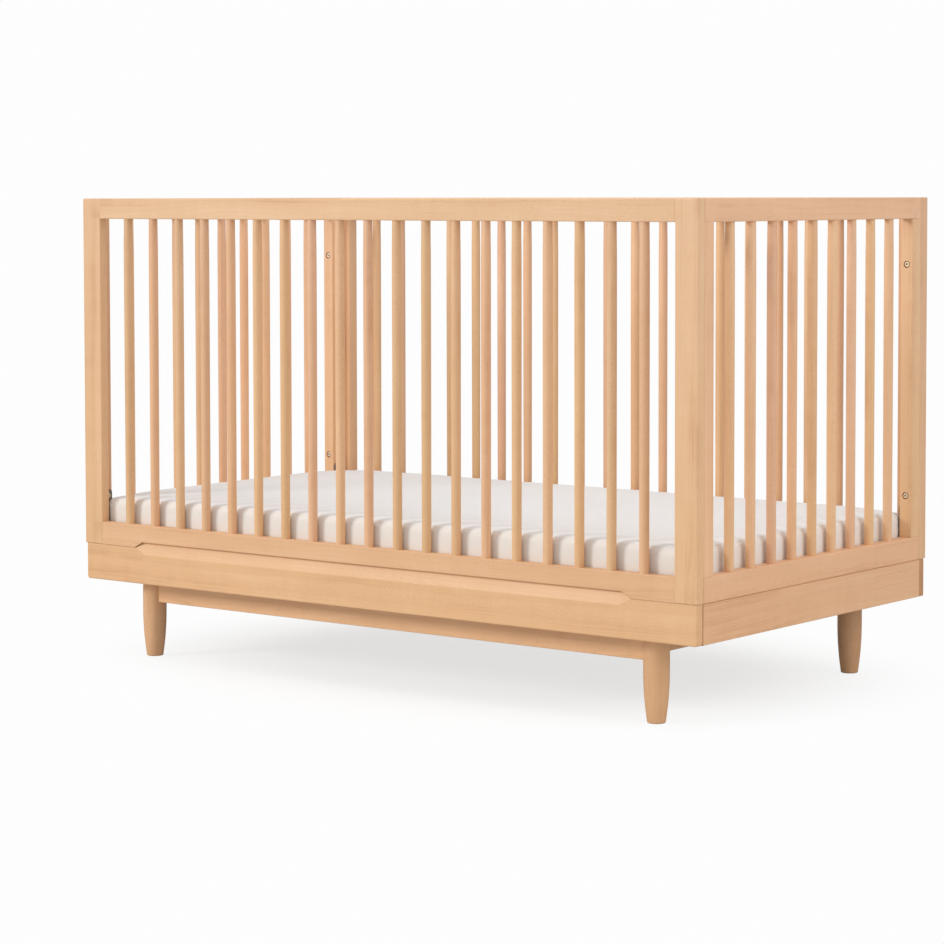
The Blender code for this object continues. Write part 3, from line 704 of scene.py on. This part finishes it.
deep, tip, heel = Vector((0.542, deep_y, crest)), Vector((0.562, low.y, seam)), Vector((0.541, low.y, heel_z))
for sign in (-1, 1):
    for p in (deep, tip + (tip - deep) * 0.1, heel + (heel - deep) * 0.1,
              Vector((0.567, low.y - 0.0006, crest))):
        wedge.verts.new((sign * p.x, p.y, p.z))
bmesh.ops.convex_hull(wedge, input=wedge.verts)
carve(panel, [to_object(wedge, "chamfer")])
bm = bmesh.new()
bm.from_mesh(panel.data)
bpy.data.objects.remove(panel, do_unlink=True)
bmesh.ops.remove_doubles(bm, verts=bm.verts, dist=0.00008)
bmesh.ops.dissolve_degenerate(bm, edges=bm.edges, dist=0.00004)
add_board("base_front_panel", bm, 0, base_wood, "base_wood", sharp=7)

low, high = box_of("base_back_panel")
add_board("base_back_panel", round_edges(box_bm(low, high), EASE_BASE, everywhere), 0, base_wood, "base_wood")
for hand in ("left", "right"):
    low, high = box_of(f"base_{hand}_panel")
    add_board(f"base_{hand}_panel", round_edges(box_bm(low, high), EASE, along(1)), 1, base_wood, "base_wood")
    for side in ("front", "back"):
        low, high = box_of(f"corner_block_{side}_{hand}")
        add_board(f"corner_block_{side}_{hand}", round_edges(box_bm(low, high), 0.0008, everywhere), 0,
                  pale_timber, "pale_timber")

# ------------------------------------------------------------------ feet
FOOT_R, BELLY = 0.02225, 0.095


def foot_radius(z):
    return FOOT_R * (1 - 0.32 * max(0.0, 1 - z / BELLY) ** 2.2)


def foot_bm(height, grow=0.0, reach=0.0):
    rows = []
    toe = 0.0026  # rounded rim of the toe
    flat = foot_radius(0.004) - toe
    for i in range(7):
        turn = math.pi / 2 * i / 6
        rows.append((flat + toe * math.sin(turn) + grow, toe - toe * math.cos(turn)))
    for i in range(1, 33):
        z = toe + (height - 0.0012 - toe) * i / 32
        r = foot_radius(z) - max(0.0, (z - 0.118) / (height - 0.118)) ** 2 * 0.0007
        rows.append((r + grow, z))
    rows.append((rows[-1][0] - 0.0006, height))
    if reach:
        rows[0] = (rows[0][0], -reach)
        rows[-1] = (rows[-1][0], height + reach)
    return turned_bm(rows, 72)


for side in ("front", "back"):
    for hand in ("left", "right"):
        name = f"foot_{side}_{hand}"
        low, high = box_of(name)
        where = Vector(((low.x + high.x) / 2, (low.y + high.y) / 2, 0))
        bm = foot_bm(high.z)
        bmesh.ops.translate(bm, vec=where, verts=bm.verts)
        foot = to_object(bm, name + "_turned")
        set_grain(foot, 2, seeds[name], *BOARD_TONES_AND_PAINTED_SHADE.get(name, (0.0, 0.3)))
        foot.data.shade_smooth()
        foot.data.set_sharp_from_angle(angle=math.radians(50))
        dress(foot, turned_wood, "turned_wood", FRAME, name)

for name in ("under_rail_front", "under_rail_back", "under_rail_left", "under_rail_right"):
    low, high = box_of(name)
    axis = 0 if high.x - low.x > 0.5 else 1
    cutters = []
    for side in ("front", "back"):
        for hand in ("left", "right"):
            if side in name or hand in name:
                f_low, f_high = box_of(f"foot_{side}_{hand}")
                bm = foot_bm(f_high.z, 0.0002, 0.002)
                bmesh.ops.translate(bm, vec=((f_low.x + f_high.x) / 2, (f_low.y + f_high.y) / 2, 0),
                                    verts=bm.verts)
                cutters.append(to_object(bm, "cope"))
    bm = round_edges(box_bm(low, high), EASE, along(axis))
    add_board(name, bm, axis, base_wood, "base_wood", cutters=cutters)

# ------------------------------------------------------------------ bolts


def hex_bolt_bm(head_r, head_h, shank_r, length, socket_r=0.0024, socket_h=0.0026):
    """A flat-headed bolt with a hexagon socket, its head's face at z = 0 and its shank below."""
    n = 48
    bm = bmesh.new()

    def ring(r, z, hexagon=False):
        row = []
        for k in range(n):
            angle = 2 * math.pi * k / n
            reach = r
            if hexagon:
                reach = r * math.cos(math.pi / 6) / math.cos((angle % (math.pi / 3)) - math.pi / 6)
            row.append(bm.verts.new((reach * math.cos(angle), reach * math.sin(angle), z)))
        return row

    rows = [ring(socket_r, -socket_h, True), ring(socket_r, -0.0002, True), ring(socket_r + 0.0003, 0.0),
            ring(head_r - 0.0008, 0.0), ring(head_r - 0.00025, -0.0003), ring(head_r, -0.0008),
            ring(head_r, -head_h + 0.0002), ring(head_r - 0.0002, -head_h), ring(shank_r, -head_h),
            ring(shank_r, -length + 0.0006), ring(shank_r - 0.0006, -length)]
    for lower, upper in zip(rows, rows[1:]):
        for k in range(n):
            m = (k + 1) % n
            bm.faces.new((lower[k], lower[m], upper[m], upper[k]))
    bm.faces.new(rows[0])
    bm.faces.new(rows[-1][::-1])
    return bm


for name, (centre, low, high) in bolt_at.items():
    front = "_front_" in name
    length = high.y - low.y
    bm = hex_bolt_bm(0.0050, 0.0040, 0.0030, length)
    head = Vector((centre.x, high.y if front else low.y, centre.z))
    turn = Matrix.Rotation(math.radians(-90 if front else 90), 4, "X")
    bmesh.ops.transform(bm, matrix=Matrix.Translation(head) @ turn, verts=bm.verts)
    bolt = to_object(bm, name + "_socket_head")
    bolt.data.shade_smooth()
    bolt.data.set_sharp_from_angle(angle=math.radians(35))
    dress(bolt, bolt_steel, "bolt_steel", FRAME, name)

# ------------------------------------------------------------------ mattress support
for name in sorted(nodes):
    if name.startswith("support_slat"):
        low, high = box_of(name)
        bm = round_edges(box_bm(low, high), 0.0016, along(1))
        add_board(name, bm, 1, pale_timber, "pale_timber", SUPPORT)
    elif name in ("support_rail_left", "support_rail_right"):
        low, high = box_of(name)
        bm = round_edges(box_bm(low, high), 0.0016, along(1))
        add_board(name, bm, 1, pale_timber, "pale_timber", SUPPORT)
    elif name in ("support_rail_front", "support_rail_back"):
        low, high = box_of(name)
        obj = to_object(round_edges(box_bm(low, high), 0.0016, along(0)), "rail_blank")
        s_low, s_high = box_of("support_slat_1")
        end_low, end_high = box_of("support_rail_left")
        front = "front" in name
        a = Vector((end_high.x, s_low.y - 0.0003 if front else high.y - 0.0300, s_low.z - 0.0003))
        b = Vector((-end_high.x, low.y + 0.0300 if front else s_high.y + 0.0003, high.z + 0.003))
        if front:
            b.y = high.y + 0.001
        else:
            a.y = low.y - 0.001
        carve(obj, [to_object(box_bm(a, b), "rebate")])
        obj.name = name + "_board"
        set_grain(obj, 0, seeds[name], *tone_and_painted_shade_of(name))
        smooth(obj, 30)
        dress(obj, pale_timber, "pale_timber", SUPPORT, name)

# Screws that hold the slats down in their rebates.


for i in range(1, 7):
    low, high = box_of(f"support_slat_{i}")
    for j, (x, y) in enumerate(((low.x + 0.022, low.y + 0.006), (high.x - 0.022, low.y + 0.006),
                                (low.x + 0.022, high.y - 0.006), (high.x - 0.022, high.y - 0.006))):
        # Countersunk flush, so the mattress lies flat on the slats.
        recess = turned_bm([(0.0036, -0.0010), (0.0038, -0.0002), (0.0030, 0.0), (0.0008, 0.0)], 28)
        bmesh.ops.translate(recess, vec=(x, y, high.z + 0.00015), verts=recess.verts)
        screw = to_object(recess, f"slat_screw_{i}_{j + 1}")
        smooth(screw, 40)
        dress(screw, bolt_steel, "bolt_steel", SUPPORT)


def strap_outline(sign, toe, face, low_z, top_z, thick, bend):
    """The section of a bent strap in XZ: a flange, a round bend and an upright leg."""
    outer = [(toe, low_z)]
    steps = 8
    for i in range(steps + 1):
        angle = math.pi / 2 * i / steps
        outer.append((face - bend + bend * math.sin(angle), low_z + bend - bend * math.cos(angle)))
    outer.append((face, top_z))
    inner = [(face - thick, top_z)]
    small = bend - thick
    for i in range(steps, -1, -1):
        angle = math.pi / 2 * i / steps
        inner.append((face - bend + small * math.sin(angle), low_z + bend - small * math.cos(angle)))
    inner.append((toe, low_z + thick))
    return [(sign * x, z) for x, z in outer + inner]


for side in ("front", "back"):
    for hand, sign in (("left", -1), ("right", 1)):
        name = f"support_hanger_{side}_{hand}"
        low, high = box_of(name)
        face = max(abs(low.x), abs(high.x))
        toe = min(abs(low.x), abs(high.x))
        thick = 0.0022
        bm = outline_bm(strap_outline(sign, toe, face, low.z, high.z, thick, 0.0042), low.y, high.y)
        # Round the corners of the leg's top and the flange's toe, then ease the rim.
        bm.normal_update()
        corners = [e for e in bm.edges if e.calc_length() < thick * 1.5 and
                   ((abs((e.verts[0].co - e.verts[1].co).normalized().x) > 0.9 and
                     min(e.verts[0].co.z, e.verts[1].co.z) > high.z - 1e-4) or
                    (abs((e.verts[0].co - e.verts[1].co).normalized().z) > 0.9 and
                     abs(abs(e.verts[0].co.x) - toe) < 1e-4))]
        bmesh.ops.bevel(bm, geom=corners, offset=0.006, offset_type="OFFSET", segments=5, profile=0.5,
                        affect="EDGES", clamp_overlap=True)
        strap = to_object(bm, name + "_strap")
        hole_z, mid_y = high.z - 0.012, (low.y + high.y) / 2
        a, b = Vector((sign * (face + 0.004), mid_y, hole_z)), Vector((sign * (face - 0.006), mid_y, hole_z))
        if a.x > b.x:
            a, b = b, a
        carve(strap, [rod("bore", 0.0034, a, b, 0)])
        smooth(strap, 35)
        dress(strap, hanger_steel, "hanger_steel", SUPPORT, name)
        bm = hex_bolt_bm(0.0058, 0.0030, 0.0032, 0.0046, 0.0022, 0.0018)
        turn = Matrix.Rotation(-sign * math.pi / 2, 4, "Y")
        place = Matrix.Translation((sign * (face - thick - 0.0030), mid_y, hole_z)) @ turn
        bmesh.ops.transform(bm, matrix=place, verts=bm.verts)
        bolt = to_object(bm, f"support_bolt_{side}_{hand}")
        bolt.data.shade_smooth()
        bolt.data.set_sharp_from_angle(angle=math.radians(35))
        dress(bolt, bolt_steel, "bolt_steel", SUPPORT)

# ------------------------------------------------------------------ mattress
sheet_low, sheet_high = box_of("fitted_sheet")
bed_low, bed_high = box_of("mattress")
bed_mid = (sheet_low + sheet_high) / 2
HALF_X, HALF_Y = (sheet_high.x - sheet_low.x) / 2 + 0.0080, (sheet_high.y - sheet_low.y) / 2
EDGE_R, CORNER_R = 0.013, 0.018  # rounding along the edges, and of the upright corners
TUCK_Z = sheet_low.z + 0.0006


def grid_steps(half, spacing, edge):
    """Coordinates from -half to half, closer together near the ends, where the edges are rounded."""
    inner = half - edge
    n = max(2, int(round(2 * inner / spacing)))
    core = [-inner + 2 * inner * i / n for i in range(n + 1)]
    rim = [inner + edge * i / 5 for i in range(1, 6)]
    return [-x for x in reversed(rim)] + core + rim


def block_bm(half_x, half_y, z0, z1, spacing, edge, bottom=True):
    """A box of quads with its surface divided evenly; the rounding is done on its points."""
    xs, ys = grid_steps(half_x, spacing, edge), grid_steps(half_y, spacing, edge)
    n = max(5, int(round((z1 - edge - z0) / (spacing * 0.8))))
    zs = [z0 + (z1 - edge - z0) * i / n for i in range(n + 1)] + [z1 - edge + edge * i / 5 for i in range(1, 6)]
    bm = bmesh.new()
    found = {}

    def vert(i, j, k):
        key = (i, j, k)
        if key not in found:
            found[key] = bm.verts.new((xs[i], ys[j], zs[k]))
        return found[key]

    last_x, last_y, last_z = len(xs) - 1, len(ys) - 1, len(zs) - 1
    for i in range(last_x):
        for j in range(last_y):
            bm.faces.new((vert(i, j, last_z), vert(i + 1, j, last_z), vert(i + 1, j + 1, last_z),
                          vert(i, j + 1, last_z)))
            if bottom:
                bm.faces.new((vert(i, j, 0), vert(i, j + 1, 0), vert(i + 1, j + 1, 0), vert(i + 1, j, 0)))
    for k in range(last_z):
        for i in range(last_x):
            bm.faces.new((vert(i, 0, k), vert(i + 1, 0, k), vert(i + 1, 0, k + 1), vert(i, 0, k + 1)))
            bm.faces.new((vert(i, last_y, k), vert(i, last_y, k + 1), vert(i + 1, last_y, k + 1),
                          vert(i + 1, last_y, k)))
        for j in range(last_y):
            bm.faces.new((vert(0, j, k), vert(0, j, k + 1), vert(0, j + 1, k + 1), vert(0, j + 1, k)))
            bm.faces.new((vert(last_x, j, k), vert(last_x, j + 1, k), vert(last_x, j + 1, k + 1),
                          vert(last_x, j, k + 1)))
    return bm


def soften(p, half_x, half_y, z0, z1, r_top, r_low, r_plan, droop):
    """Moves a point of the block's surface onto a mattress's: rounded upright corners, rounded upper
    edges, and corners that sink a little because nothing holds the foam up there."""
    x, y, z = p
    near_x, near_y = abs(x) / half_x, abs(y) / half_y
    # plan rounding
    ix, iy = max(0.0, abs(x) - (half_x - r_plan)), max(0.0, abs(y) - (half_y - r_plan))
    if ix > 0 and iy > 0:
        # squares' rim onto circles' rim
        big = max(ix, iy)
        scale = big / math.hypot(ix, iy)
        ix, iy = ix * scale, iy * scale
        x = math.copysign(half_x - r_plan + ix, x)
        y = math.copysign(half_y - r_plan + iy, y)
    # distance inwards from the rim of the rounded plan
    ax, ay = abs(x) - (half_x - r_plan), abs(y) - (half_y - r_plan)
    inside = r_plan - (math.hypot(max(ax, 0), max(ay, 0)) + min(max(ax, ay), 0.0))
    high = z1 - z
    low = z - z0
    if inside < r_top and high < r_top:
        u, v = r_top - inside, r_top - high
        big = max(u, v)
        s = big / max(math.hypot(u, v), 1e-9)
        du, dv = u - u * s, v - v * s
        # pull the point inwards by du and down by dv
        if ax > 0 and ay > 0:
            n = Vector((ax, ay)).normalized()
        elif ax > ay:
            n = Vector((1, 0))
        else:
            n = Vector((0, 1))
        x -= math.copysign(n.x * du, x)
        y -= math.copysign(n.y * du, y)
        z -= dv
    elif inside < r_low and low < r_low:
        u, v = r_low - inside, r_low - low
        big = max(u, v)
        s = big / max(math.hypot(u, v), 1e-9)
        du, dv = u - u * s, v - v * s
        if ax > 0 and ay > 0:
            n = Vector((ax, ay)).normalized()
        elif ax > ay:
            n = Vector((1, 0))
        else:
            n = Vector((0, 1))
        x -= math.copysign(n.x * du, x)
        y -= math.copysign(n.y * du, y)
        z += dv
    # crown and sunk corners
    share = (z - z0) / (z1 - z0)
    corner = max(0.0, 1 - math.hypot(half_x - abs(x), half_y - abs(y)) / 0.11)
    z -= share * droop * corner * corner * (3 - 2 * corner)
    z += share * 0.0012 * (1 - near_x ** 4) * (1 - near_y ** 4)
    return Vector((x, y, z))


def shaped(bm, *form):
    for v in bm.verts:
        v.co = soften(v.co, *form)
    return bm


SHEET_THICK = 0.0009
core_half = (HALF_X - 0.0035, HALF_Y - 0.0032)
core_z0, core_z1 = sheet_low.z + 0.0022, sheet_high.z - 0.0026
core_form = (*core_half, core_z0, core_z1, EDGE_R, 0.014, CORNER_R, 0.004)
core = to_object(shaped(block_bm(*core_half, core_z0, core_z1, 0.016, 0.026), *core_form), "mattress_core")
core.location = (bed_mid.x, bed_mid.y, 0)
bpy.context.view_layer.update()
core.data.transform(core.matrix_world)
core.matrix_world = Matrix.Identity(4)


def set_cloth(obj):
    """The flat cloth's own coordinates, unrolled over the edges: what the woven materials read."""
    mesh = obj.data
    points = np.zeros(len(mesh.vertices) * 3)
    mesh.vertices.foreach_get("co", points)
    points = points.reshape(-1, 3)
    normals = np.zeros(len(mesh.vertices) * 3)
    mesh.vertices.foreach_get("normal", normals)
    normals = normals.reshape(-1, 3)
    drop = np.clip(points[:, 2].max() - points[:, 2], 0, None)
    flat = np.zeros_like(points)
    side_x = np.abs(normals[:, 0]) > np.abs(normals[:, 1])
    flat[:, 0] = points[:, 0] + np.where(side_x, np.sign(normals[:, 0]) * drop, 0)
    flat[:, 1] = points[:, 1] + np.where(side_x, 0, np.sign(normals[:, 1]) * drop)
    stored(mesh, "cloth", "FLOAT_VECTOR", "POINT", flat)


# ------------------------------------------------------------------ fitted sheet
SWELL_X, SWELL_Y = 0.0036, 0.0023  # of the mattress's sides between its corners


def swollen(x, y):
    """How far the sides stand out at a point of the mattress, along X and Y."""
    u, v = min(1.0, abs(x) / (HALF_X - 0.03)), min(1.0, abs(y) / (HALF_Y - 0.055))
    return (math.copysign(SWELL_X * (1 - v ** 4) ** 2 * (abs(x) / HALF_X) ** 6, x),
            math.copysign(SWELL_Y * (1 - u ** 12) ** 2 * (abs(y) / HALF_Y) ** 6, y))


def corner_gather(p, half_x, half_y, z0, z1):
    """Where the elastic pulls the cloth in near a corner: shallow upright folds that die out towards the top."""
    low = 1 - min(1.0, max(0.0, (p.z - z0) / (z1 - z0)))
    near = math.exp(-((max(0.0, half_x - abs(p.x)) / 0.10) ** 2) - ((max(0.0, half_y - abs(p.y)) / 0.10) ** 2))
    run = abs(p.x) - abs(p.y)
    return near * low ** 1.5 * 0.0028 * math.sin(run * 2 * math.pi / 0.021)


def make_sheet():
    half_x, half_y = HALF_X - 0.0008, HALF_Y - 0.0008
    z0, z1 = TUCK_Z, sheet_high.z - 0.0002
    form = (half_x, half_y, z0, z1, EDGE_R + 0.001, 0.014, CORNER_R + 0.001, 0.004)
    bm = shaped(block_bm(half_x, half_y, z0, z1, 0.014, 0.028), *form)
    # The cover is open underneath, apart from the hem that the elastic draws in.
    hem = 0.062
    gone = [f for f in bm.faces
            if f.normal.z < -0.5 or all(v.co.z < z0 + 0.0015 for v in f.verts)]
    gone = [f for f in gone if abs(f.calc_center_median().x) < half_x - hem
            and abs(f.calc_center_median().y) < half_y - hem]
    bmesh.ops.delete(bm, geom=gone, context="FACES")
    loose = [v for v in bm.verts if not v.link_faces]
    bmesh.ops.delete(bm, geom=loose, context="VERTS")
    sheet = to_object(bm, "fitted_sheet_cover")
    sheet.location = (bed_mid.x, bed_mid.y, 0)
    bpy.context.view_layer.update()
    sheet.data.transform(sheet.matrix_world)
    sheet.matrix_world = Matrix.Identity(4)
    return sheet, z0, z1, half_x, half_y


def simulate_sheet(sheet, z0, z1):
    """Lets the cover settle on the foam with a little cloth to spare, held by its hem."""
    mesh = sheet.data
    rest = np.zeros(len(mesh.vertices) * 3)
    mesh.vertices.foreach_get("co", rest)
    rest = rest.reshape(-1, 3).copy()
    held = sheet.vertex_groups.new(name="held")
    for v in mesh.vertices:
        share = (v.co.z - z0) / (z1 - z0)
        if share < 0.10:
            held.add([v.index], 1.0, "REPLACE")
        elif share < 0.45:
            held.add([v.index], (0.45 - share) / 0.35 * 0.6, "REPLACE")
    core.modifiers.new("solid", "COLLISION")
    core.collision.thickness_outer = 0.0012
    core.collision.thickness_inner = 0.004
    core.collision.cloth_friction = 12
    cloth = sheet.modifiers.new("cloth", "CLOTH")
    s = cloth.settings
    s.quality = 6
    s.mass = 0.18
    s.tension_stiffness = s.compression_stiffness = 22
    s.shear_stiffness = 8
    s.bending_stiffness = 0.25
    s.tension_damping = s.compression_damping = s.shear_damping = 12
    s.bending_damping = 2
    s.air_damping = 4
    s.vertex_group_mass = "held"
    s.pin_stiffness = 4
    # A cover is cut a little large, so its threads are longer than the way over the foam.
    s.shrink_min = -0.005
    s.shrink_max = -0.005
    cloth.collision_settings.distance_min = 0.0010
    cloth.collision_settings.collision_quality = 3
    cloth.collision_settings.use_self_collision = False
    cloth.point_cache.frame_start, cloth.point_cache.frame_end = 1, 40
    for at in range(1, 33):
        scene.frame_set(at)
    applied(sheet)
    scene.frame_set(1)
    core.modifiers.clear()
    now = np.zeros(len(sheet.data.vertices) * 3)
    sheet.data.vertices.foreach_get("co", now)
    now = now.reshape(-1, 3)
    moved = now - rest
    far = np.linalg.norm(moved, axis=1)
    cap = 0.005
    scale = np.where(far > cap, cap / np.maximum(far, 1e-9), 1.0)
    now = rest + moved * scale[:, None]
    now[:, 0] = np.clip(now[:, 0], bed_mid.x - HALF_X + 0.0004, bed_mid.x + HALF_X - 0.0004)
    now[:, 1] = np.clip(now[:, 1], bed_mid.y - HALF_Y + 0.0004, bed_mid.y + HALF_Y - 0.0004)
    now[:, 2] = np.minimum(now[:, 2], sheet_high.z + 0.002)
    sheet.data.vertices.foreach_set("co", now.astype(np.float32).ravel())
    sheet.data.update()
    print("sheet: moved by up to", round(float(far.max()), 4), "mean", round(float(far.mean()), 5))


sheet, z0, z1, half_x, half_y = make_sheet()
simulate_sheet(sheet, z0, z1)

for v in core.data.vertices:
    dx, dy = swollen(v.co.x - bed_mid.x, v.co.y - bed_mid.y)
    v.co += Vector((dx, dy, 0))
for v in sheet.data.vertices:
    local = Vector((v.co.x - bed_mid.x, v.co.y - bed_mid.y, v.co.z))
    dx, dy = swollen(local.x, local.y)
    v.co += Vector((dx, dy, 0))
    push = corner_gather(local, half_x, half_y, z0, z1)
    if push:
        out = Vector((local.x, local.y, 0)).normalized()
        v.co += out * push
sub = sheet.modifiers.new("fine", "SUBSURF")
sub.levels = sub.render_levels = 1
applied(sheet)


def rim_place(p):
    """(distance inwards from the rounded plan's rim, angle up the rounded upper edge) of a point of the sheet."""
    ax, ay = abs(p.x - bed_mid.x) - (half_x - CORNER_R), abs(p.y - bed_mid.y) - (half_y - CORNER_R)
    inside = CORNER_R - (math.hypot(max(ax, 0.0), max(ay, 0.0)) + min(max(ax, ay), 0.0))
    return inside, math.atan2(p.z - (z1 - EDGE_R), EDGE_R - inside)


# The seam that joins the sheet's top to its sides stands a little proud all round.
for v in sheet.data.vertices:
    inside, angle = rim_place(v.co)
    if inside < EDGE_R and angle > 0:
        apart = (angle - math.radians(52)) * EDGE_R
        v.co += v.normal * 0.0008 * math.exp(-(apart / 0.0019) ** 2)
# Painted light: marks the side panels, which the sheet's material tints warmer for the light they catch from the
# timber.
places = [rim_place(v.co) for v in sheet.data.vertices]
stored(sheet.data, "panel", "FLOAT", "POINT",
       [1.0 if inside < EDGE_R and angle < math.radians(52) else 0.0 for inside, angle in places])
solid = sheet.modifiers.new("thickness", "SOLIDIFY")
solid.thickness = SHEET_THICK
solid.offset = -1
applied(sheet)
set_cloth(sheet)
sheet.data.shade_smooth()
dress(sheet, sheet_cotton, "sheet_cotton", BED, "fitted_sheet")

finish_core = core.modifiers.new("fine", "SUBSURF")
finish_core.levels = finish_core.render_levels = 1
applied(core)
set_cloth(core)
core.data.shade_smooth()
dress(core, ticking, "mattress_foam", BED, "mattress")

# ------------------------------------------------------------------ studio
FLOOR_GLOW = 0.71  # how far the white floor outshines its shadows
BACKDROP = (0.985, 0.985, 0.985)
WORLD = 0.62
BOXES = (  # name, azimuth, elevation, distance, width, height, radiance, colour
    ("key_front_left", -35, 22, 12.0, 3.1, 3.1, 21.1, (1.0, 0.99, 0.975)),
    ("fill_right", 86, 20, 5.0, 3.2, 2.8, 2.35, (1.0, 0.99, 0.98)),
    ("top", 0, 84, 2.4, 2.2, 1.4, 1.7, (0.93, 0.97, 1.0)),
)


def make_studio():
    """A pale floor that turns into the white of the backdrop far off, and soft boxes to the front left and right."""
    t = Tree("floor_pale")
    where = t.position()
    x, y, _ = t.split(where)
    x, y = t.maths("DIVIDE", x, 0.72), t.maths("DIVIDE", t.maths("SUBTRACT", y, 0.03), 0.57)
    far = t.maths("SQRT", t.maths("ADD", t.maths("MULTIPLY", x, x), t.maths("MULTIPLY", y, y)))
    fade = t.maths("DIVIDE", t.maths("SUBTRACT", far, 0.55), 0.75, clamp=True)
    fade = t.maths("MULTIPLY", fade, t.maths("MULTIPLY", fade, t.maths("SUBTRACT", 3.0, t.maths("MULTIPLY", fade, 2.0))))
    # Painted light: even near the crib, the floor the camera sees is mostly white glow, so the crib's shadow on it
    # shows only faintly; farther off it is all glow.
    fade = t.maths("MULTIPLY_ADD", fade, 1 - FLOOR_GLOW, FLOOR_GLOW)
    fine = t.noise(where, 40.0, 3.0)
    t.put(t.mix(fine, (0.965, 0.965, 0.965), (0.985, 0.985, 0.985)), t.shader, "Base Color")
    t.shader.inputs["Roughness"].default_value = 0.9
    t.shader.inputs["Specular IOR Level"].default_value = 0.0
    glow = t.make("ShaderNodeEmission")
    glow.inputs["Color"].default_value = (*BACKDROP, 1)
    both = t.make("ShaderNodeMixShader")
    t.links.new(fade, both.inputs[0])
    t.links.new(t.shader.outputs[0], both.inputs[1])
    t.links.new(glow.outputs[0], both.inputs[2])
    t.links.new(both.outputs[0], t.nodes["Material Output"].inputs[0])

    under = Tree("floor_bounce")
    under.put(under.mix(under.noise(under.position(), 30.0), (0.60, 0.60, 0.60), (0.64, 0.64, 0.64)),
              under.shader, "Base Color")
    under.shader.inputs["Roughness"].default_value = 0.9

    def disc(name, material, z):
        bm = bmesh.new()
        bmesh.ops.create_circle(bm, cap_ends=True, segments=96, radius=60)
        obj = to_object(bm, name)
        if obj.data.polygons[0].normal.z < 0:
            obj.data.flip_normals()
        obj.location.z = z
        obj.data.materials.append(material)
        return obj

    # What the camera sees of the floor, and what lights the crib from below.
    floor = disc("studio_floor", t.mat, -0.0002)
    floor.visible_diffuse = floor.visible_glossy = floor.visible_shadow = False
    bounce = disc("studio_floor_bounce", under.mat, -0.0006)
    bounce.visible_camera = False

    dome_mat = Tree("backdrop_white")
    light = dome_mat.make("ShaderNodeEmission")
    light.inputs["Color"].default_value = (*BACKDROP, 1)
    dome_mat.links.new(light.outputs[0], dome_mat.nodes["Material Output"].inputs[0])
    bm = bmesh.new()
    bmesh.ops.create_uvsphere(bm, u_segments=48, v_segments=24, radius=55)
    dome = to_object(bm, "studio_backdrop")
    dome.data.materials.append(dome_mat.mat)
    dome.visible_diffuse = dome.visible_glossy = dome.visible_transmission = False
    dome.visible_shadow = dome.visible_volume_scatter = False

    world = bpy.data.worlds.new("studio")
    world.use_nodes = True
    background = world.node_tree.nodes["Background"]
    background.inputs["Color"].default_value = (1.0, 0.995, 0.99, 1)
    background.inputs["Strength"].default_value = WORLD
    scene.world = world

    for name, azimuth, elevation, away, wide, tall, radiance, colour in BOXES:
        # Azimuth is where the light comes from, turned from the front (-Y) towards +X.
        data = bpy.data.lights.new(name, "AREA")
        data.shape = "RECTANGLE"
        data.size, data.size_y = wide, tall
        data.energy = radiance * math.pi * wide * tall
        data.color = colour
        lamp = bpy.data.objects.new(name, data)
        a, e = math.radians(azimuth), math.radians(elevation)
        back = Vector((math.sin(a) * math.cos(e), -math.cos(a) * math.cos(e), math.sin(e)))
        lamp.rotation_euler = back.to_track_quat("Z", "Y").to_euler()
        lamp.location = Vector((0, -0.1, 0.45)) + back * away
        lamp.visible_camera = False
        scene.collection.objects.link(lamp)


make_studio()
scene.view_settings.view_transform = "Standard"
scene.view_settings.look = "None"
